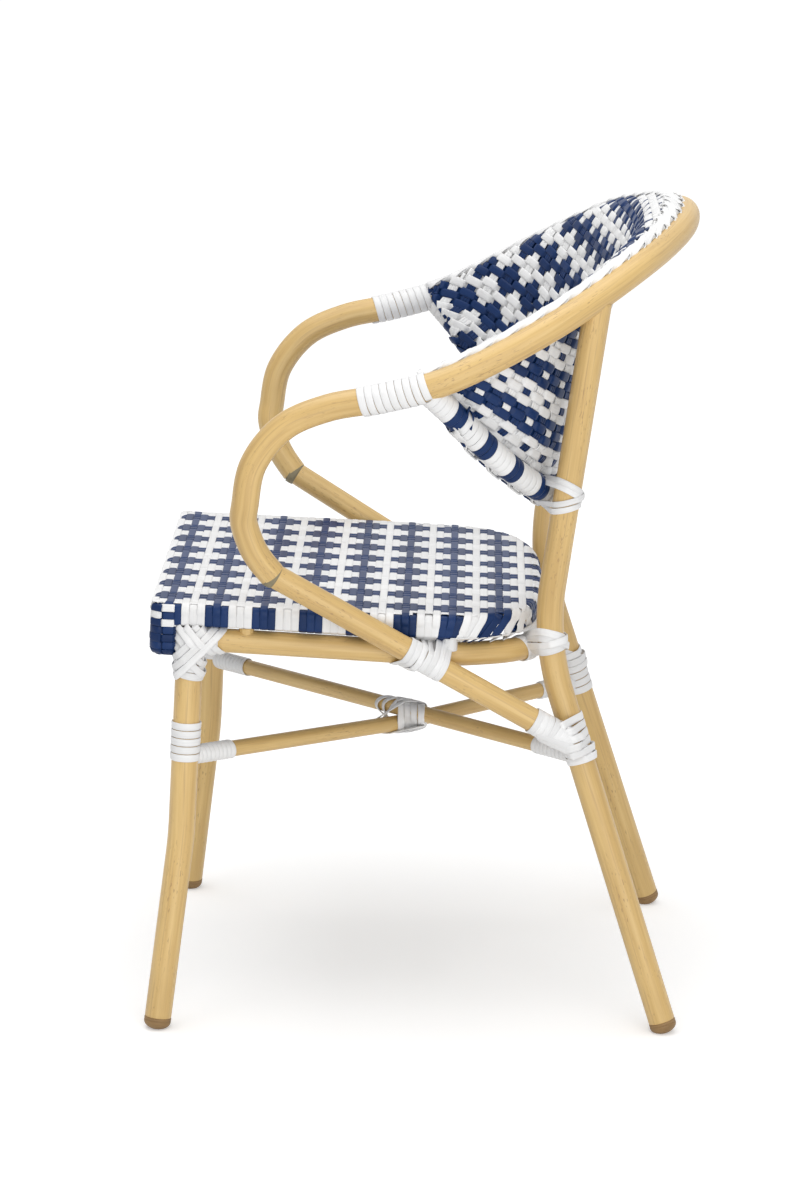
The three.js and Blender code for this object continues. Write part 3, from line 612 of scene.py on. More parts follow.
FLAT_SECTION = strip_section(STRIP_FLATNESS)
DOMED_SECTION = strip_section(DOMED_FLATNESS)


def add_strip(pile, points, normals, width, thickness, closed=False, lean=0.0, section=FLAT_SECTION):
    """A flat strand with a low crown along the points, its face towards the normals."""
    along = looped_tangents(points) if closed else tangents(points)
    normals = square_to(normals, along)
    across = np.cross(along, normals)
    if lean:
        normals, across = (normals * math.cos(lean) + across * math.sin(lean),
                           across * math.cos(lean) - normals * math.sin(lean))
    width = np.broadcast_to(width, len(points))[:, None, None]
    vertices = (points[:, None] + across[:, None] * section[:, 0:1] * width / 2
                + normals[:, None] * section[:, 1:2] * thickness / 2)
    shift = rng.uniform(0, GRAIN_SHIFT)
    grain = np.zeros_like(vertices)
    grain[..., 0] = section[:, 0] * width[..., 0] / 2
    grain[..., 1] = shift
    grain[..., 2] = lengths_along(points)[:, None] + shift
    pile.add(vertices, ring_faces(len(points), len(section), closed), grain, rng.uniform(0, 1))


def looped_tangents(points):
    return unit(np.roll(points, -1, axis=0) - np.roll(points, 1, axis=0))


# Materials

def connect(tree, value, socket):
    """Links a node's output to the socket, or sets a plain value or an opaque colour on it."""
    if isinstance(value, bpy.types.NodeSocket):
        tree.links.new(value, socket)
    elif socket.type == "RGBA":
        socket.default_value = (*value, 1)
    else:
        socket.default_value = value


def node(tree, kind, **inputs):
    made = tree.nodes.new(kind)
    for name, value in inputs.items():
        connect(tree, value, made.inputs[name.replace("_", " ")])
    return made


def maths(tree, operation, first, second):
    made = tree.nodes.new("ShaderNodeMath")
    made.operation = operation
    connect(tree, first, made.inputs[0])
    connect(tree, second, made.inputs[1])
    return made.outputs[0]


def attribute(tree, name, output):
    made = tree.nodes.new("ShaderNodeAttribute")
    made.attribute_name = name
    return made.outputs[output]


def noise(tree, place, scale, detail, roughness=0.5):
    mapping = node(tree, "ShaderNodeMapping", Vector=place, Scale=scale)
    return node(tree, "ShaderNodeTexNoise", Vector=mapping.outputs["Vector"], Scale=1.0,
                Detail=detail, Roughness=roughness).outputs["Fac"]


def ramp(tree, factor, *stops):
    made = node(tree, "ShaderNodeValToRGB", Fac=factor)
    elements = made.color_ramp.elements
    while len(elements) < len(stops):
        elements.new(0.5)
    for element, (position, colour) in zip(elements, stops):
        element.position = position
        element.color = (*colour, 1)
    return made.outputs["Color"]


def grey(value):
    return (value, value, value)


def grey_ramp(tree, factor, *stops):
    return ramp(tree, factor, *[(position, grey(value)) for position, value in stops])


def mixed(tree, kind, factor, first, second):
    made = tree.nodes.new("ShaderNodeMix")
    made.data_type = "RGBA"
    made.blend_type = kind
    colours = [socket for socket in made.inputs if socket.type == "RGBA"]
    for socket, value in zip((made.inputs[0], *colours), (factor, first, second)):
        connect(tree, value, socket)
    return made.outputs[2]


def new_material(name, roughness, coat=0.0, coat_roughness=0.2, metallic=0.0):
    material = bpy.data.materials.new(name)
    material.use_nodes = True
    shader = material.node_tree.nodes["Principled BSDF"]
    for socket, value in (("Roughness", roughness), ("Coat Weight", coat),
                          ("Coat Roughness", coat_roughness), ("Metallic", metallic)):
        shader.inputs[socket].default_value = value
    return material, material.node_tree, shader


def finish_surface(tree, shader, colour, height, strength, distance):
    bump = node(tree, "ShaderNodeBump", Height=height, Strength=strength, Distance=distance)
    connect(tree, bump.outputs["Normal"], shader.inputs["Normal"])
    connect(tree, colour, shader.inputs["Base Color"])


def bamboo_material():
    material, tree, shader = new_material("bamboo", roughness=0.42, coat=0.2, coat_roughness=0.3)
    grain = attribute(tree, "grain", "Vector")
    place = tree.nodes.new("ShaderNodeTexCoord").outputs["Object"]
    fine = noise(tree, grain, FINE_GRAIN, detail=4, roughness=0.6)
    base = ramp(tree, fine, *BAMBOO_BASE)
    for source, scale, stops in ((grain, BAND_GRAIN, BAMBOO_BANDS), (place, CLOUD_SCALE, BAMBOO_CLOUDS)):
        base = mixed(tree, "MULTIPLY", 1.0, base, ramp(tree, noise(tree, source, scale, 2), *stops))
    streaks = grey_ramp(tree, noise(tree, grain, STREAK_GRAIN, 2), *STREAK_STOPS)
    flecks = grey_ramp(tree, noise(tree, grain, FLECK_GRAIN, 1), *FLECK_STOPS)
    patches = grey_ramp(tree, noise(tree, grain, PATCH_GRAIN, 1), *PATCH_STOPS)
    base = mixed(tree, "MIX", streaks, base, BAMBOO_STREAK)
    base = mixed(tree, "MIX", mixed(tree, "MULTIPLY", 1.0, flecks, patches), base, BAMBOO_FLECK)
    finish_surface(tree, shader, base, fine, strength=0.12, distance=0.0004)
    return material


def strand_material(name, dark, middle, light, roughness, gloss):
    material, tree, shader = new_material(name, roughness)
    shader.inputs["Specular IOR Level"].default_value = gloss
    lines = noise(tree, attribute(tree, "grain", "Vector"), STRAND_GRAIN, 2)
    base = ramp(tree, attribute(tree, "tone", "Fac"), (0.0, dark), (0.5, middle), (1.0, light))
    base = mixed(tree, "MULTIPLY", 1.0, base, grey_ramp(tree, lines, *STRAND_STOPS))
    finish_surface(tree, shader, base, lines, strength=0.15, distance=0.0003)
    return material


def plain_material(name, dark, light, roughness, metallic=0.0):
    material, tree, shader = new_material(name, roughness, metallic=metallic)
    cloud = noise(tree, tree.nodes.new("ShaderNodeTexCoord").outputs["Object"], PLASTIC_SCALE, detail=4)
    base = ramp(tree, cloud, (0.3, dark), (0.7, light))
    finish_surface(tree, shader, base, cloud, strength=0.1, distance=0.0002)
    return material


bamboo = bamboo_material()
white_strand = strand_material("white_strand", grey(0.76), grey(0.81), grey(0.85), 0.38, 0.35)
blue_strand = strand_material("blue_strand", (0.005, 0.022, 0.085), (0.006, 0.027, 0.105),
                              (0.009, 0.034, 0.125), 0.36, 0.18)
glide_plastic = plain_material("glide_plastic", (0.23, 0.135, 0.05), (0.30, 0.18, 0.07), 0.55)
# Dark olive for the hoop's open end round the brace: painted shade of the step and gap there, not a colour
# of its own
joint_end_painted_shade = plain_material("joint_end_painted_shade", (0.20, 0.17, 0.10), (0.27, 0.23, 0.14), 0.6)
black_plastic = plain_material("black_plastic", grey(0.015), grey(0.03), 0.5)
bare_metal = plain_material("bare_metal", grey(0.55), grey(0.65), 0.4, metallic=1.0)


def build_pair(piles, name, node_name):
    """The blue and the white strands of one woven or wound piece."""
    for colour, material in (("blue", blue_strand), ("white", white_strand)):
        piles[colour].build(name.format(colour), material, "weave", node_name)


# Frame tubes

def front_leg_at(height):
    share = (height - FRONT_KNEE[2]) / (FRONT_TOP[2] - FRONT_KNEE[2])
    return FRONT_KNEE + (FRONT_TOP - FRONT_KNEE) * share


def rear_leg_at(height):
    return REAR_FOOT + (WAIST - REAR_FOOT) * height / WAIST[2]


def rail_point(half_width, back):
    return vec(half_width, back, RAIL_HEIGHT - RAIL_FALL * back)


hoop = smooth_curve(both_sides([ARM_JOINT] + [
    vec(x * HOOP_HALF_WIDTH, y * HOOP_BACK, z * HOOP_HEIGHT) for x, y, z in HOOP_SHARES]))
hoop_length = lengths_along(hoop)[-1]


def hoop_place(back):
    """Distance along the hoop where its left half first lies that far back."""
    front = int(np.argmin(hoop[: len(hoop) // 3, 1]))
    index = front + int(np.argmax(hoop[front:, 1] > back))
    return lengths_along(hoop)[index]


def hoop_frames(distance):
    """Places along the hoop, and the directions along it, inwards and up."""
    centre = point_at(hoop, distance)
    along = way_at(hoop, distance, HOOP_STEP)
    towards = np.stack([-centre[:, 0], SEAT_BACK / 2 - centre[:, 1], np.zeros(len(centre))], axis=-1)
    inward = turned_to(unit(np.cross(UP, along)), towards)
    upward = turned_to(unit(np.cross(inward, along)), UP)
    return centre, along, inward, upward


def foot_end(foot, above):
    along = unit(above - foot)
    return foot + along * DOME_HEIGHT / along[2], along


def leg_curve(foot, above, top, radius):
    dome, along = foot_end(foot, above)
    return bent_curve([dome + along * (COLLAR_LENGTH + FLOOR_GAP), above, top], [radius])


post_top = point_at(hoop, hoop_place(POST_TOP_BACK))
front_leg = leg_curve(FRONT_FOOT, FRONT_KNEE, FRONT_TOP, FRONT_KNEE_RADIUS)
rear_leg = leg_curve(REAR_FOOT, WAIST, post_top + unit(WAIST - post_top) * COPE, WAIST_RADIUS)
front_leg_length = lengths_along(front_leg)[-1]

brace_foot = rear_leg_at(BRACE_FOOT_SHARE * WAIST[2]) + vec(BRACE_FOOT_OUTSET, 0, 0)
brace = resampled(np.array([brace_foot, ARM_JOINT]), BRACE_SPACING)
brace_way = unit(brace[-1] - brace[0])

rail_corners = [rail_point(*corner) for corner in RAIL_CORNERS]
rail = bent_curve(rail_corners + [on_side(-1, corner) for corner in rail_corners[::-1]],
                  [*RAIL_RADII, *RAIL_RADII[::-1]])
back_rail = smooth_curve(both_sides([point_at(hoop, hoop_place(BACK_RAIL_JOIN_BACK))] + [
    vec(x * BACK_RAIL_HALF_WIDTH, y * BACK_RAIL_BACK, BACK_RAIL_HEIGHT + z * BACK_RAIL_DROP)
    for x, y, z in BACK_RAIL_SHARES]))


def stretcher_curves():
    """The low stretcher, bent to pass under the middle of the straight high one."""
    front = on_side(-1, front_leg_at(HIGH_STRETCHER_HEIGHTS[0]))
    rear = rear_leg_at(HIGH_STRETCHER_HEIGHTS[1])
    middle = front + (rear - front) * front[0] / (front[0] - rear[0])
    middle[2] -= STRETCHER_PASS
    low = bent_curve([front_leg_at(LOW_STRETCHER_HEIGHTS[0]), middle,
                      on_side(-1, rear_leg_at(LOW_STRETCHER_HEIGHTS[1]))], [STRETCHER_BEND])
    return low, resampled(np.array([front, rear]), STRETCHER_SPACING)


low_stretcher, high_stretcher = stretcher_curves()


def build_tube(name, points, radius, node_name, **ends):
    pile = Pile()
    add_tube(pile, points, radius, **ends)
    pile.build(name, bamboo, "bamboo", node_name)


def build_frame_tubes():
    build_tube("hoop_tube", hoop, HOOP_RADIUS, "back_hoop",
               round_start=HOOP_END_ROUND, round_end=HOOP_END_ROUND)
    for name, side in SIDES:
        build_tube(f"front_leg_tube_{name}", on_side(side, front_leg), LEG_RADIUS,
                   f"front_leg_{name}", round_start=LEG_FOOT_ROUND, round_end=TUBE_END_ROUND)
        build_tube(f"rear_leg_tube_{name}", on_side(side, rear_leg), LEG_RADIUS,
                   f"rear_leg_{name}", round_start=LEG_FOOT_ROUND)
        build_tube(f"brace_tube_{name}", on_side(side, brace), BRACE_RADIUS,
                   f"arm_brace_{name}", round_start=TUBE_END_ROUND)
    build_tube("rail_tube", rail, RAIL_RADIUS, "seat_rail")
    build_tube("low_stretcher_tube", low_stretcher, STRETCHER_RADIUS, "low_stretcher")
    build_tube("high_stretcher_tube", high_stretcher, STRETCHER_RADIUS, "high_stretcher")


# Foot glides: a collar and a rounded end, cut flat where it stands

def glide_profile():
    dome = [(DOME_RADIUS * math.sin(a), -DOME_DEPTH * math.cos(a))
            for a in np.linspace(DOME_START, math.pi / 2, DOME_RINGS)]
    insets = (0, GROOVE_DEPTH, GROOVE_DEPTH, 0)
    groove = [(DOME_RADIUS - inset, height) for inset, height in zip(insets, COLLAR_GROOVE)]
    return [*dome, *groove, (DOME_RADIUS, COLLAR_LENGTH - COLLAR_ROUND),
            (DOME_RADIUS - COLLAR_ROUND, COLLAR_LENGTH),
            (DOME_RADIUS - GLIDE_NECK, COLLAR_LENGTH + GLIDE_NECK)]


def build_glides():
    for foot_name, foot, above in (("front", FRONT_FOOT, FRONT_KNEE), ("rear", REAR_FOOT, WAIST)):
        for name, side in SIDES:
            dome, along = foot_end(on_side(side, foot), on_side(side, above))
            rings = turned(dome, along, vec(0, 1, 0), glide_profile())
            rings[..., 2] = np.maximum(rings[..., 2], 0)
            pile = Pile()
            pile.add(rings, ring_faces(len(rings), TURNED_SIDES), rings)
            pile.build(f"{foot_name}_glide_moulding_{name}", glide_plastic, "glide",
                       f"{foot_name}_glide_{name}")


# Seat panel: rounded sides under a flat top, whose rim is a row of points with their normals

def seat_rim():
    depth = RIM_BACK - SEAT_SIDE_BACK
    turn = np.linspace(-math.pi / 2, 0, CORNER_POINTS)[:, None]
    sweep = np.linspace(0, math.pi / 2, REAR_POINTS)[:, None]
    power = 2 / SEAT_SQUARENESS
    right = np.vstack([
        [[0, RIM_FRONT]],
        np.hstack([RIM_HALF_WIDTH - RIM_CORNER + RIM_CORNER * np.cos(turn),
                   RIM_FRONT + RIM_CORNER + RIM_CORNER * np.sin(turn)]),
        np.hstack([RIM_HALF_WIDTH * np.cos(sweep) ** power,
                   SEAT_SIDE_BACK + depth * np.sin(sweep) ** power]),
    ])
    loop = np.vstack([right, (right * [-1, 1])[::-1][1:]])
    points = resampled(np.hstack([loop, np.zeros((len(loop), 1))]), RIM_SPACING)
    along = tangents(points)
    normals = np.stack([along[:, 1], -along[:, 0], np.zeros(len(along))], axis=-1)
    return points[:-1], normals[:-1]


rim_points, rim_normals = seat_rim()
HALF_RIM = len(rim_points) // 2
right_rim, right_normals = rim_points[:HALF_RIM], rim_normals[:HALF_RIM]


def rim_section(deep):
    """Lengths of the rim's upper arc, its straight wall and its lower arc, and that one's radius."""
    radius = APRON_THICKNESS / 2 if deep else SEAT_EDGE / 2
    straight = (APRON_DEPTH if deep else SEAT_THICKNESS) - SEAT_EDGE - radius
    return SEAT_EDGE * math.pi / 2, straight, radius * (math.pi if deep else math.pi / 2), radius


def rim_profile(distance, deep, back):
    """Outward and downward travel, and the outward and upward parts of the normal."""
    arc, straight, under, foot_radius = rim_section(deep)
    upper_turn = np.clip(distance / SEAT_EDGE, 0, math.pi / 2)
    lower_turn = np.clip(distance - arc - straight, 0, under) / foot_radius
    lower = distance > arc + straight
    out = SEAT_EDGE * np.sin(upper_turn) - foot_radius * (1 - np.cos(lower_turn))
    down = (SEAT_EDGE * (1 - np.cos(upper_turn)) + np.clip(distance - arc, 0, straight)
            + foot_radius * np.sin(lower_turn))
    normal_out = np.where(lower, np.cos(lower_turn), np.sin(upper_turn))
    normal_up = np.where(lower, -np.sin(lower_turn), np.cos(upper_turn))
    rest = np.clip(distance - arc - straight - under, 0, None)
    if deep:
        down = down - rest
    else:
        out = out - rest
        down = down + np.minimum(rest, TUCK_RUN) / TUCK_RUN * (TUCK_DROP + TUCK_FALL * back)
    return out, down, normal_out, normal_up


def over_rim(point, normal, distance, deep, back=0.0):
    """Places and facings at distances over the rim from points on it with those normals."""
    out, down, normal_out, normal_up = rim_profile(distance, deep, back)
    position = point + normal * out[:, None] - UP * down[:, None]
    return position, normal * normal_out[:, None] + UP * normal_up[:, None]


def rim_extent(deep):
    """How far a strand runs down from the rim."""
    return sum(rim_section(deep)[:3]) + (0 if deep else TUCK_RUN)


def front_run(across, back):
    """Down over the front of the rim, from under the front roll, at one place across."""
    places = np.stack([np.full(len(back), across), back, np.zeros(len(back))], axis=-1)
    gap = ((places[:, None, :2] - rim_points[None, :, :2]) ** 2).sum(-1)
    index = gap.argmin(1)
    point, normal = rim_points[index], rim_normals[index]
    distance = ((places[:, :2] - point[:, :2]) * normal[:, :2]).sum(-1)
    wrapped, facing = over_rim(point, normal, distance, True)
    outside = (distance > 0)[:, None]
    position, facing = np.where(outside, wrapped, places), np.where(outside, facing, UP)
    return position - facing * WEAVE_SINK, facing


def rim_run(place, sense, turn, extent, deep):
    """Down over the rim from its place-th point, slanting along it; also gives the travel."""
    distance = np.arange(RIM_START, extent, STRAND_STEP)
    along = np.clip(place + sense * math.tan(turn) * distance, 0, HALF_RIM - 1)
    lower = np.floor(along).astype(int)
    f = (along - lower)[:, None]
    upper = np.minimum(lower + 1, HALF_RIM - 1)
    point = right_rim[lower] * (1 - f) + right_rim[upper] * f
    normal = unit(right_normals[lower] * (1 - f) + right_normals[upper] * f)
    position, facing = over_rim(point, normal, distance, deep, point[:, 1])
    return position - facing * WEAVE_SINK, facing, distance


def rim_crossing(axis, value):
    """Where along the right half of the rim it passes that place, and its normal's turn."""
    in_front = np.where(right_rim[:, 1] < RIM_FRONT + RIM_CORNER, OUT_OF_REACH, 0)
    nearest = int(np.argmin(np.abs(right_rim[:, axis] - value) + in_front))
    before, after = right_rim[max(nearest - 1, 0)], right_rim[min(nearest + 1, HALF_RIM - 1)]
    step = (after[axis] - before[axis]) / 2
    crossing = nearest
    if abs(step) > RIM_LEVEL:
        crossing = nearest + float(np.clip((value - right_rim[nearest][axis]) / step, -1, 1))
    normal = right_normals[nearest]
    return crossing, math.atan2(abs(normal[1]), normal[0])


def rim_place(crossing):
    return [float(np.interp(crossing, np.arange(HALF_RIM), right_rim[:, k])) for k in (0, 1)]


def tilt_seat(points, top=SEAT_TOP):
    turn = -math.atan(SEAT_FALL)
    y = points[..., 1] * math.cos(turn) - points[..., 2] * math.sin(turn)
    z = points[..., 1] * math.sin(turn) + points[..., 2] * math.cos(turn)
    return np.stack([points[..., 0], y, z + top], axis=-1)


def lay_on_seat(pile, position, facing, width, thickness=STRAND_THICKNESS):
    add_strip(pile, tilt_seat(position), tilt_seat(facing, 0.0), width, thickness)


def weave_height(place, level, overhang, turn):
    """Height of a strand at a place counted in crossings, given its level at each crossing.

    The strand stays over for a little more than the crossing and dips inside the next one.
    """
    crossing = np.floor(place + 0.5).astype(int)
    f = place - crossing + 0.5
    here = level(crossing)
    height = here.copy()
    for other, distance in ((level(crossing - 1), f), (level(crossing + 1), 1 - f)):
        turned_by = np.clip((distance - overhang) / (turn / 2), -1, 1)
        blend = (here + other) / 2 + (here - other) / 2 * np.sin(turned_by * math.pi / 2)
        height = np.where(here < other, np.maximum(height, blend), height)
    return height


def over_if_even(count):
    return np.where(count % 2 == 0, 1.0, -1.0)


def single_height(across, index):
    """Over the group when index and group make an even sum; level beyond the last group."""

    def level(group):
        return np.where(np.abs(group) > LAST_GROUP, LEVEL_RISE, over_if_even(group + index))

    return weave_height(across / GROUP_PITCH, level, SINGLE_OVERHANG / GROUP_PITCH,
                        SINGLE_TURN / GROUP_PITCH)


def group_height(along, group, pitch):
    """Height of a strand in a group, which crosses single strands one by one."""
    return weave_height(along / pitch, lambda index: -over_if_even(group + index),
                        GROUP_OVERHANG / pitch, GROUP_TURN / pitch)


def colour_of_group(group):
    return "white" if group % 2 == 0 else "blue"


def seat_single(index, piles):
    """A strand across the seat, down both sides and a little way under."""
    back = BLUE_CENTRE_BACK + index * STRAND_PITCH
    deep = back < APRON_BACK
    column = DEEP_COLUMNS.get(index)
    if back > RIM_BACK - RIM_MARGIN:
        return
    crossing, turn = rim_crossing(1, back)
    slant = min(turn, SLANT_MOST)
    if column:
        crossing, slant = int(np.argmax(right_rim[:, 1] > column[0])), 0.0
    width = rim_place(crossing)[0]
    x = np.arange(0, width, SINGLE_STEP)
    flat = np.stack([x, np.full_like(x, back), np.full_like(x, -WEAVE_SINK)], axis=-1)
    wraps = turn < SINGLES_WRAP_TO and (not deep or column)
    position, normal, distance = rim_run(crossing, -1, slant, rim_extent(deep) if wraps else RIM_TOP,
                                         deep)
    position, facing = np.vstack([flat, position]), np.vstack([np.tile(UP, (len(x), 1)), normal])
    cloth = np.concatenate([x, width + distance])
    position = np.vstack([on_side(-1, position)[:0:-1], position])
    facing = np.vstack([on_side(-1, facing)[:0:-1], facing])
    cloth = np.concatenate([-cloth[:0:-1], cloth])
    height = single_height(cloth, index)
    beyond = np.abs(cloth) > width + RIM_MARGIN
    height = np.where(beyond, np.maximum(height, LEVEL_RISE) if wraps else -1.0, height)
    if column:
        step = (np.abs(cloth) - width) / STRAND_PITCH - BAND_START
        height = np.where(step > -0.5, -over_if_even(np.round(step).astype(int) + index), height)
        widen = column[1] / STRAND_WIDTH
    else:
        widen = min(WIDEN_LEAST * math.cos(slant) / max(math.cos(turn), STEEPEST), WIDEN_MOST)
    spread = np.clip((np.abs(cloth) - width) / WIDEN_RUN, 0, 1)
    colour = "blue" if (index + 1) % COLOUR_PERIOD < COLOUR_RUN else "white"
    lay_on_seat(piles[colour], position + facing * (height * SINGLE_RISE)[:, None], facing,
                STRAND_WIDTH * (1 + (widen - 1) * spread))


def seat_row(group, strand, piles):
    """A strand of a group, from under the front roll over the seat and down the back."""
    across = group * GROUP_PITCH + strand * GROUP_SPACING
    if abs(across) > RIM_HALF_WIDTH + 1:
        return
    wraps_front = abs(across) < RIM_HALF_WIDTH - SEAT_CORNER / 2
    front = np.arange(RIM_FRONT - (rim_extent(True) if wraps_front else SEAT_EDGE), RIM_FRONT, STRAND_STEP)
    back, hidden = SEAT_SIDE_BACK + SIDE_ROW_RUN, False
    end, ending, travel = np.zeros((0, 3)), np.zeros((0, 3)), np.zeros(0)
    if abs(across) <= RIM_HALF_WIDTH - SIDE_ROW_INSET:
        crossing, turn = rim_crossing(0, max(abs(across), 1.0))
        if abs(across) < MIDDLE_STRAND:
            crossing, turn = HALF_RIM - 1, math.pi / 2
        turn = math.pi / 2 - turn
        back = rim_place(crossing)[1]
        wraps = turn < GROUPS_WRAP_TO
        hidden = not wraps or turn > math.pi / 2 - SINGLES_WRAP_TO + CORNER_OVERLAP
        end, ending, travel = rim_run(crossing, 1, min(turn, SLANT_MOST),
                                      rim_extent(False) if wraps else RIM_TOP, False)
        side = 1 if across >= 0 else -1
        end, ending = on_side(side, end), on_side(side, ending)
    y = np.arange(RIM_FRONT, back, STRAND_STEP)
    start, starting = front_run(across, front)
    flat = np.stack([np.full_like(y, across), y, np.full_like(y, -WEAVE_SINK)], axis=-1)
    position = np.vstack([start, flat, end])
    facing = np.vstack([starting, np.tile(UP, (len(y), 1)), ending])
    cloth = np.concatenate([front, y, back + travel])
    height = group_height(cloth - BLUE_CENTRE_BACK, group, STRAND_PITCH)
    beyond = cloth > back + RIM_MARGIN
    height = np.where(beyond, UNDER_RISE if hidden else np.maximum(height, -LEVEL_RISE), height)
    lay_on_seat(piles[colour_of_group(group)], position + facing * (height * GROUP_RISE)[:, None],
                facing, GROUP_SPACING - GROUP_STRAND_GAP)


def apron_band(step, piles):
    """A strand round the front roll, from one side end across the front to the other."""
    keep = rim_points[:, 1] < DEEP_COLUMN_JOINTS[0] + BAND_END_RUN
    points, normals = rim_points[keep], rim_normals[keep]
    order = np.argsort(np.arctan2(points[:, 0], BAND_PIVOT - points[:, 1]))
    points, normals = points[order], normals[order]
    distance = np.full(len(points), (BAND_START + step) * STRAND_PITCH)
    position, facing = over_rim(points, normals, distance, True)
    crossing = 1 - sum((points[:, 1] < joint).astype(int) for joint in DEEP_COLUMN_JOINTS)
    over = np.where(crossing > 0, -1.0, over_if_even(crossing + step))
    height = np.where(crossing > -2, over, single_height(points[:, 0], -2 - step))
    lay_on_seat(piles["white" if step < ROLL_WHITE_BANDS else "blue"],
                position + facing * (height * SINGLE_RISE - WEAVE_SINK)[:, None], facing, STRAND_WIDTH)


def seat_hem(piles):
    """A thin strand round the rear of the panel, over the tucked ends of the others."""
    rear = right_rim[:, 1] > HEM_START
    position, facing = over_rim(right_rim[rear], right_normals[rear],
                                np.full(rear.sum(), HEM_TRAVEL), False)
    position = position + facing * HEM_LIFT
    position = np.vstack([position, on_side(-1, position)[::-1][1:]])
    facing = np.vstack([facing, on_side(-1, facing)[::-1][1:]])
    lay_on_seat(piles["white"], position, facing, HEM_WIDTH, HEM_THICKNESS)


def build_seat():
    piles = {"blue": Pile(), "white": Pile()}
    first = int(math.ceil((SEAT_FRONT + RIM_MARGIN - BLUE_CENTRE_BACK) / STRAND_PITCH))
    last = int((SEAT_BACK - BLUE_CENTRE_BACK) / STRAND_PITCH)
    for index in range(first, last + 1):
        seat_single(index, piles)
    for group in range(-LAST_GROUP, LAST_GROUP + 1):
        for strand in GROUP_STRANDS:
            seat_row(group, strand, piles)
    for step in range(ROLL_BANDS):
        apron_band(step, piles)
    seat_hem(piles)
    build_pair(piles, "seat_{}_strands", "seat_cover")


# Woven back: a sheet of points with their facings, from the hoop's border down to the lower rail

def border_reach(distance):
    """How far inwards the border reaches at a distance along the hoop: most at the rear."""
    away = (distance - hoop_length / 2) / BORDER_REAR_SPREAD
    return BORDER_SIDE_REACH + (BORDER_REAR_REACH - BORDER_SIDE_REACH) * np.exp(-away ** 2)


def back_grid():
    """The sheet's points and facings, and their heights above the lower rail along it."""
    start = hoop_place(BACK_SHEET_START)
    share = np.linspace(0, 1, BACK_ACROSS)
    hoop_distance = start + (hoop_length - 2 * start) * share
    centre, _, inward, upward = hoop_frames(hoop_distance)
    top = centre + inward * (HOOP_RADIUS + SHEET_FROM_HOOP)
    places = SHEET_INSET + (lengths_along(back_rail)[-1] - 2 * SHEET_INSET) * share
    low = point_at(back_rail, places)
    normal = turned_to(unit(np.cross(unit(low - top), way_at(back_rail, places, 1.0))), inward)
    j = np.linspace(0, 1, BACK_DOWN)
    bow = np.sin(math.pi * np.sqrt(j))[None] * np.sin(math.pi * share)[:, None]
    grid = (top[:, None] + (low - top)[:, None] * j[None, :, None]
            + normal[:, None] * (bow * BACK_SHEET_BOW)[..., None])
    raised = (centre + inward * border_reach(hoop_distance)[:, None]
              + upward * (BORDER_INNER_RISE - SHEET_UNDER_BORDER) - grid[:, 0])
    grid = grid + raised[:, None] * (np.clip(1 - j / SHEET_BLEND, 0, 1) ** 2)[None, :, None]
    facing = unit(np.cross(np.gradient(grid, axis=0), np.gradient(grid, axis=1)))
    heights = np.zeros(grid.shape[:2])
    steps = np.linalg.norm(np.diff(grid, axis=1), axis=2)
    heights[:, :-1] = np.cumsum(steps[:, ::-1], axis=1)[:, ::-1]
    return np.concatenate([grid, turned_to(facing, normal[:, None])], axis=-1), heights


back_sheet, back_heights = back_grid()


def back_surface(share, height):
    """Points and facings at shares across the back and heights above the lower rail."""
    position = share * (BACK_ACROSS - 1)
    i = np.clip(position.astype(int), 0, BACK_ACROSS - 2)
    f = (position - i)[:, None]

    def column(index):
        return np.array([between(h, back_heights[k][::-1], back_sheet[k][::-1])
                         for k, h in zip(index, height)])

    before, after = column(i), column(i + 1)
    both = before + (after - before) * f
    return both[:, :3], unit(both[:, 3:])


def level_rows():
    """Level lines across the back, each with its places measured from the middle."""
    rows = []
    for height in np.arange(0, back_heights[:, 0].max(), LEVEL_STEP):
        share = np.linspace(0, 1, ROW_PLACES)
        top = np.interp(share, np.linspace(0, 1, BACK_ACROSS), back_heights[:, 0])
        share = share[top >= height]
        if len(share) < LEAST_ROW:
            break
        points, facing = back_surface(share, np.full(len(share), height))
        beside = 0.5 + 0.5 * math.cos(math.pi * min(height / RAIL_BLEND, 1))
        points = points + facing * SHEET_FROM_RAIL * beside
        along = lengths_along(points)
        rows.append((along - np.interp(0, -points[:, 0], along), np.hstack([points, facing])))
    return rows


back_rows = level_rows()
ROW_HEIGHTS = np.arange(len(back_rows)) * LEVEL_STEP
ROW_REACHES = [min(-along[0], along[-1]) for along, _ in back_rows]


def back_place(across, height):
    """Points and facings at distances from the middle and heights above the lower rail.

    Below the rail's own height the sheet bends round the inner side of the rail.
    """
    level = np.clip(height / LEVEL_STEP, 0, len(back_rows) - 1 - ROW_MARGIN)
    lower = level.astype(int)
    f = (level - lower)[:, None]

    def on_row(index):
        return np.array([between(s, *back_rows[row]) for row, s in zip(index, across)])

    both = on_row(lower) * (1 - f) + on_row(lower + 1) * f
    points, facing = both[:, :3], unit(both[:, 3:])
    if height.min() >= 0:
        return points, facing
    along, rail_row = back_rows[0]
    below = turned_to(unit(np.cross(between(across, along, tangents(rail_row[:, :3])), facing)), -UP)
    turn = (np.clip(-height, 0, None) / SHEET_FROM_RAIL)[:, None]
    bent = facing * np.cos(turn) + below * np.sin(turn)
    axis = points - facing * SHEET_FROM_RAIL
    return np.where(turn > 0, axis + bent * SHEET_FROM_RAIL, points), np.where(turn > 0, bent, facing)


def back_reach(height):
    return np.interp(height, ROW_HEIGHTS, ROW_REACHES)


def back_lean(height):
    return 1 - BACK_GROUP_LEAN * (height - BACK_FIRST)


